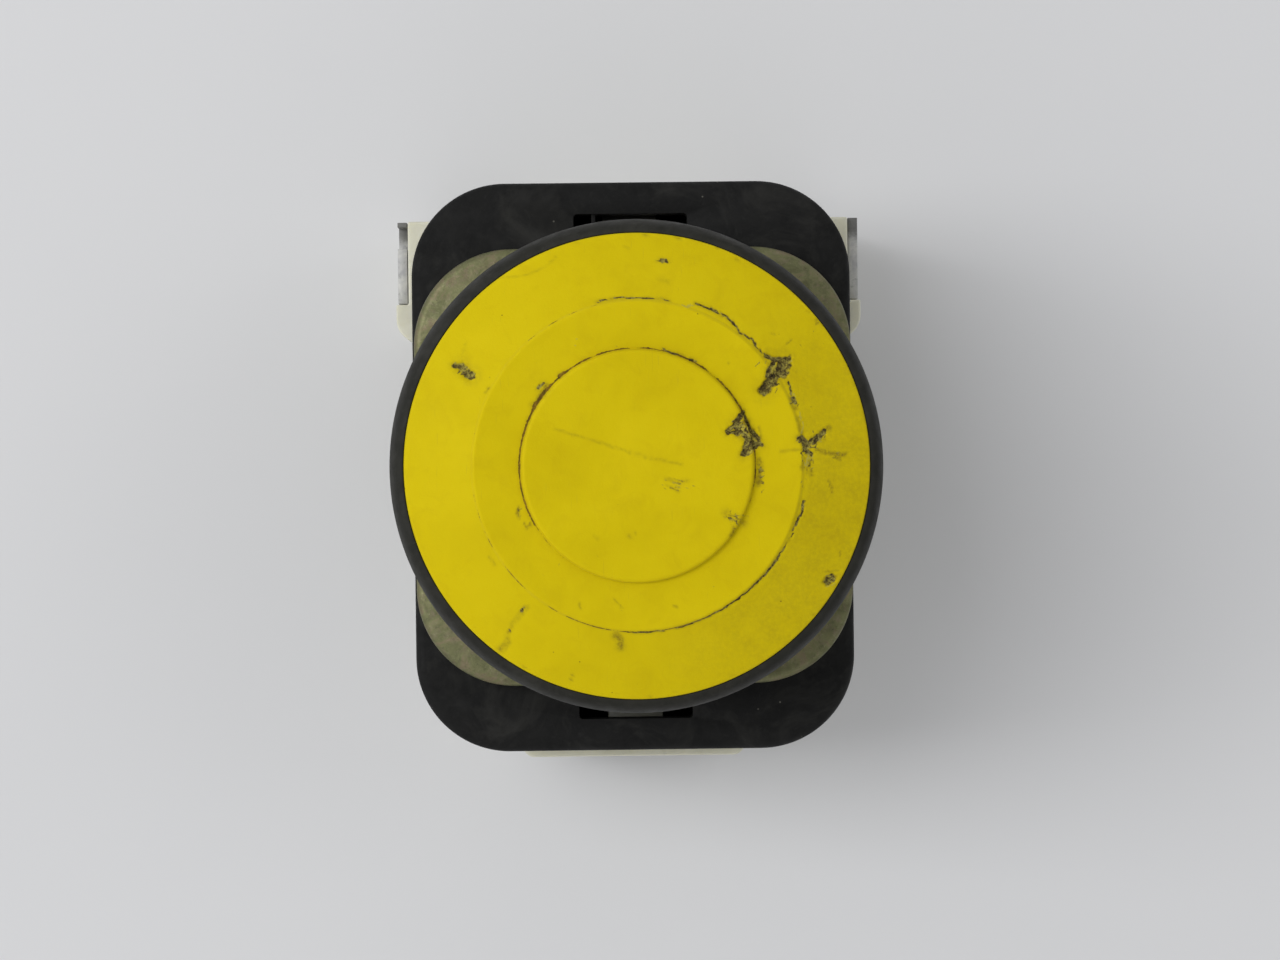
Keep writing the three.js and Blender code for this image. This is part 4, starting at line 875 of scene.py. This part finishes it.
def ring_nut():
    low, high = box("ring_nut")
    outer, inner = high.x, COLLAR_RADIUS + COLLAR_FIT
    outline = rounded([(inner, low.z, 0.2), (outer, low.z, 0.6), (outer, high.z, 0.8),
                       (inner + 0.35, high.z, 0.15), (inner, high.z - 0.4, 0.15)], 5)
    nut = lathe("ring_nut_piece", outline, 192)
    notches = [turned(slab("notch", outer - 1.2, outer + 1, -1.5, 1.5, low.z - 1, high.z + 1),
                      TAU * (k + 0.5) / 8) for k in range(8)]
    combine(nut, "DIFFERENCE", *notches)
    return settle(nut, "ring_nut", crease=32)


def rings():
    inner = COLLAR_RADIUS + COLLAR_FIT
    low, high = box("panel_gasket")
    settle(washer("panel_gasket", inner, high.x, low.z, high.z, 0.35), "panel_gasket")
    low, high = box("trim_washer")
    flat = washer("trim_washer", inner, high.x, low.z, high.z, 0.15)
    tab = slab("tab", -1.45, 1.45, 13.75, 15.3, low.z, high.z)
    settle(combine(flat, "UNION", tab), "trim_washer", crease=32)
    low, high = box("guide_bushing")
    neck = 7.15
    outline = rounded([(STEM_BORE, low.z, 0.2), (neck, low.z, 0.2), (neck, FLANGE_TOP),
                       (high.x, FLANGE_TOP, 0.2), (high.x, high.z, 0.4), (STEM_BORE, high.z, 0.2)], 3)
    settle(lathe("guide_bushing_piece", outline, 64), "guide_bushing", crease=34)


def wiper_boot():
    """Rubber bellows with rounded folds."""
    low, high = box("wiper_boot")
    wall, outside, socket, root = 0.8, high.x, STEM_BORE, 10.3
    foot = FLANGE_TOP + 1.95
    rise, crest = high.z - foot, high.x - wall
    folds = [(crest - 0.6, 0.2), (crest, 0.38), (crest - 3.2, 0.52), (crest - 1, 0.68)]
    outer = [(r + wall, foot + s * rise, 0.5) for r, s in folds]
    inner = [(r, foot + s * rise - wall / 3, 0.3) for r, s in folds][::-1]
    outline = [(root, low.z, 0.1), (outside, low.z, 0.2), (outside, foot + wall / 2, 0.4), *outer,
               (socket + 1.6, foot + 0.86 * rise, 0.5), (socket + 1.6, high.z, 0.3), (socket, high.z, 0.2),
               (socket, foot + 0.78 * rise, 0.3), *inner, (root, foot + wall / 4, 0.2)]
    made = lathe("wiper_boot_piece", rounded(outline, 5), 96)
    settle(made, "wiper_boot", crease=50)
    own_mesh(made)


def detent_spring():
    low, high = box("detent_spring")
    radius = DETENT_WIRE
    half, level = high.x - radius, (low.z + high.z) / 2
    back, bow = low.y, high.y - radius - half
    path = [(half, back + (bow - back) * k / 10, level) for k in range(11)]
    path += [(half * math.cos(math.pi * k / 24), bow + half * math.sin(math.pi * k / 24), level)
             for k in range(1, 24)]
    path += [(-half, bow + (back - bow) * k / 10, level) for k in range(11)]
    settle(tube("detent_spring_piece", path, radius, 14), "detent_spring", crease=50)


def coil(node, wire, turns, squashed=None):
    """A compression spring with closed end turns."""
    low, high = box(node)
    x, y = (low.x + high.x) / 2, (low.y + high.y) / 2
    radius = (high.x - low.x) / 2 - wire
    z0, z1 = low.z + wire * 1.02, high.z - wire * 1.02
    steps, path = int(turns * 28), []
    closed = 0.9 / turns
    for k in range(steps + 1):
        t = k / steps
        rise = min(max((t - closed) / (1 - 2 * closed), 0), 1)
        lift = wire * 1.1 * (min(t, closed) / closed)
        drop = wire * 1.1 * (min(1 - t, closed) / closed)
        z = z0 + lift + (z1 - z0 - wire * 2.2) * rise + (wire * 1.1 - drop)
        angle = TAU * turns * t
        path.append((x + radius * math.cos(angle), y + radius * math.sin(angle), z))
    made = settle(tube(node + "_piece", path, wire, 10), node, crease=60)
    if squashed:
        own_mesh(made)


# ---------- contact carrier and block


def contact_carrier():
    low, high = box("contact_carrier")
    half_x, half_y, wall, face = high.x, high.y, 2.4, 3
    back, front = low.z, high.z
    made = slab("contact_carrier_piece", -half_x, half_x, -half_y, half_y, back, front, 9.4, 0.9, 0.25, 28)
    x, y = half_x - wall, half_y - wall
    cavity = slab("cavity", -x, x, -y, y, back - 1, front - face, 7, 0.4, 0, 16)
    opening = slab("opening", -14.5, 14.5, -11, 11, front - face - 1, front + 1, 4, 0, 0, 10)
    outer, depth, reach = half_y - 3.2, 3.4, 5.7
    slots = [slab("slot", -reach, reach, *sorted((s * (outer - depth), s * outer)),
                  front - face - 1, front + 1, 0.35, 0, 0, 4) for s in (1, -1)]
    rib = slab("rib", -3.9, -3.5, outer - depth - 0.5, outer + 0.5, front - face, front - 0.4)
    bosses = [peg("boss", 3.4, back, front - face + 0.5, 48, *place) for place in CARRIER_SCREWS]
    bores = [peg("bore", CARRIER_HOLE, back - 1, front + 1, 32, *place) for place in CARRIER_SCREWS]
    catches = []
    for reach_z, sign in ((8, 1), (14, -1)):
        tip = back + reach_z
        inside = sorted((sign * (y - 0.3), sign * (y + 1.4)))
        catches.append(slab("catch", -3.1, 3.1, *inside, tip - 2.6, tip + 0.3))
    combine(made, "DIFFERENCE", cavity)
    combine(made, "DIFFERENCE", opening, *slots)
    combine(made, "UNION", rib, *bosses)
    combine(made, "DIFFERENCE", *bores, *catches)
    soften(made, 0.14, 2, 50)
    return settle(made, "contact_carrier", crease=36)


def tip(node):
    """A contact rivet with a domed face."""
    low, high = box(node)
    x, y, radius = (low.x + high.x) / 2, (low.y + high.y) / 2, (high.x - low.x) / 2
    down = node.startswith(("nc_fixed", "no_bridge"))
    z0, z1 = (high.z, low.z) if down else (low.z, high.z)
    rise = z1 - z0
    outline = [(0, z0), (radius, z0), (radius, z0 + 0.62 * rise), (0.9 * radius, z0 + 0.84 * rise),
               (0.62 * radius, z0 + 0.96 * rise), (0.3 * radius, z1 - 0.005 * rise), (0, z1)]
    settle(lathe(node + "_piece", outline, 40, x, y), node, crease=40)


def build():
    head_insert()
    head_cap()
    operator_base()
    ring_nut()
    rings()
    wiper_boot()
    stem()
    detent_spring()
    contact_carrier()
    low, high = box("head_lock_washer")
    settle(washer("head_lock_washer", SCREW_HOLE, high.x, low.z, high.z), "head_lock_washer")
    screw("head_screw", 1.9, 3.6, 1.8, up=True)
    screw("actuator_screw", 1.9, 3.6, 1.8)
    for side in SIDES:
        screw("retainer_screw_" + side, 1.4, 2.7, 1.6, pitch=0.5)
        for kind in ("carrier", "nc_terminal", "no_terminal"):
            screw(f"{kind}_screw_{side}", 1.7, 3.2, 2.4, pitch=0.6)
    for level in ("upper", "lower"):
        screw("cover_screw_" + level, 1.4, 2.7, 0.9, pitch=0.5, thin=True)
    for pair in ("nc", "no"):
        coil(pair + "_return_spring", 0.35, 5, pair + "_plunger_slide")
        coil(pair + "_contact_spring", 0.18, 4.5)
        for side in SIDES:
            tip(f"{pair}_fixed_tip_{side}")
            tip(f"{pair}_bridge_tip_{side}")
            detailed(f"{pair}_terminal_{side}", 0.06, finish=TERMINAL if pair == "nc" else None)
            detailed(f"{pair}_clamp_{side}", 0.15)
        detailed(pair + "_plunger", 0.15)
        detailed(pair + "_bridge", 0.15)
    detailed("contact_housing", 0.22, 3)
    for node, width in (("contact_cover", 0.15), ("carrier_back_plate", 0.18), ("detent_retainer", 0.12),
                        ("stem_clip", 0.1), ("actuator_plate", 0.12)):
        detailed(node, width)


build()


# ---------- stage, light and camera


def floor():
    f = Finish("floor_paper", Specular_IOR_Level=0.15, Roughness=0.8)
    f.set(Base_Color=f.ramp(f.noise(60, 3, 0.5), (0.35, (0.66, 0.665, 0.68)), (0.7, (0.672, 0.676, 0.69))))
    f.set(Normal=f.bump(f.noise(0.6, 3), 0.02, 0.2))
    half = 900
    made = solid("floor", [(-half, -half, 0), (half, -half, 0), (half, half, 0), (-half, half, 0)],
                 [(0, 1, 2, 3)])
    made.location.z = -0.02 * MM  # just under the part
    made.data.materials.append(f.material)


def aim(made, place, back, up):
    """Stands an object at a place in metres with its Z axis along back and its Y axis near up."""
    back = back.normalized()
    right = up.cross(back).normalized()
    turn = Matrix((right, back.cross(right), back)).transposed().to_4x4()
    made.matrix_world = Matrix.Translation(place) @ turn
    bpy.context.scene.collection.objects.link(made)


def area(name, towards, width, depth, watts):
    """A soft box a metre from the object in the direction towards, with its width along X."""
    light = bpy.data.lights.new(name, "AREA")
    light.shape, light.size, light.size_y = "RECTANGLE", width, depth
    light.energy = watts
    direction = Vector(towards).normalized()
    aim(bpy.data.objects.new(name, light), direction, direction, direction.cross(Vector((1, 0, 0))))


def world(strength, overhead, right):
    """Surroundings that are darker straight overhead, where the camera is, and towards the right."""
    made = bpy.data.worlds.new("surroundings")
    bpy.context.scene.world = made
    made.use_nodes = True
    n = Nodes(made.node_tree)
    place = n.node("ShaderNodeTexCoord").outputs["Generated"]
    height = n.ramp(n.axis(place, "Z"), (0.9, 1), (0.97, overhead))
    side = n.node("ShaderNodeMapRange", {"Value": n.axis(place, "X"), "From Min": -1, "From Max": 1,
                                         "To Min": 1, "To Max": right}).outputs["Result"]
    light = {"Color": n.mix(1, height, side, "MULTIPLY"), "Strength": strength}
    back = n.node("ShaderNodeBackground", light)
    n.node("ShaderNodeOutputWorld", {"Surface": back.outputs[0]})


# where the camera stands and looks, in millimetres
CAMERA = (-5.15, 0, 423)
AIM = (0.594, -1.386, 50.5)
TILT = math.radians(0.7)
LENS = 105.8


def camera():
    data = bpy.data.cameras.new("camera")
    data.lens, data.sensor_width = LENS, 36
    data.clip_start, data.clip_end = 0.02, 10
    made = bpy.data.objects.new("camera", data)
    up = Vector((math.sin(TILT), math.cos(TILT), 0))
    aim(made, Vector(CAMERA) * MM, Vector(CAMERA) - Vector(AIM), up)
    bpy.context.scene.camera = made


floor()
area("main", (-0.5, 0.12, 0.86), 0.74, 0.3, 4.3)
area("fill", (0.55, 0.15, 0.84), 0.42, 0.24, 0.4)
world(0.86, 0.1, 0.6)
camera()
bpy.context.scene.view_settings.view_transform = "Standard"
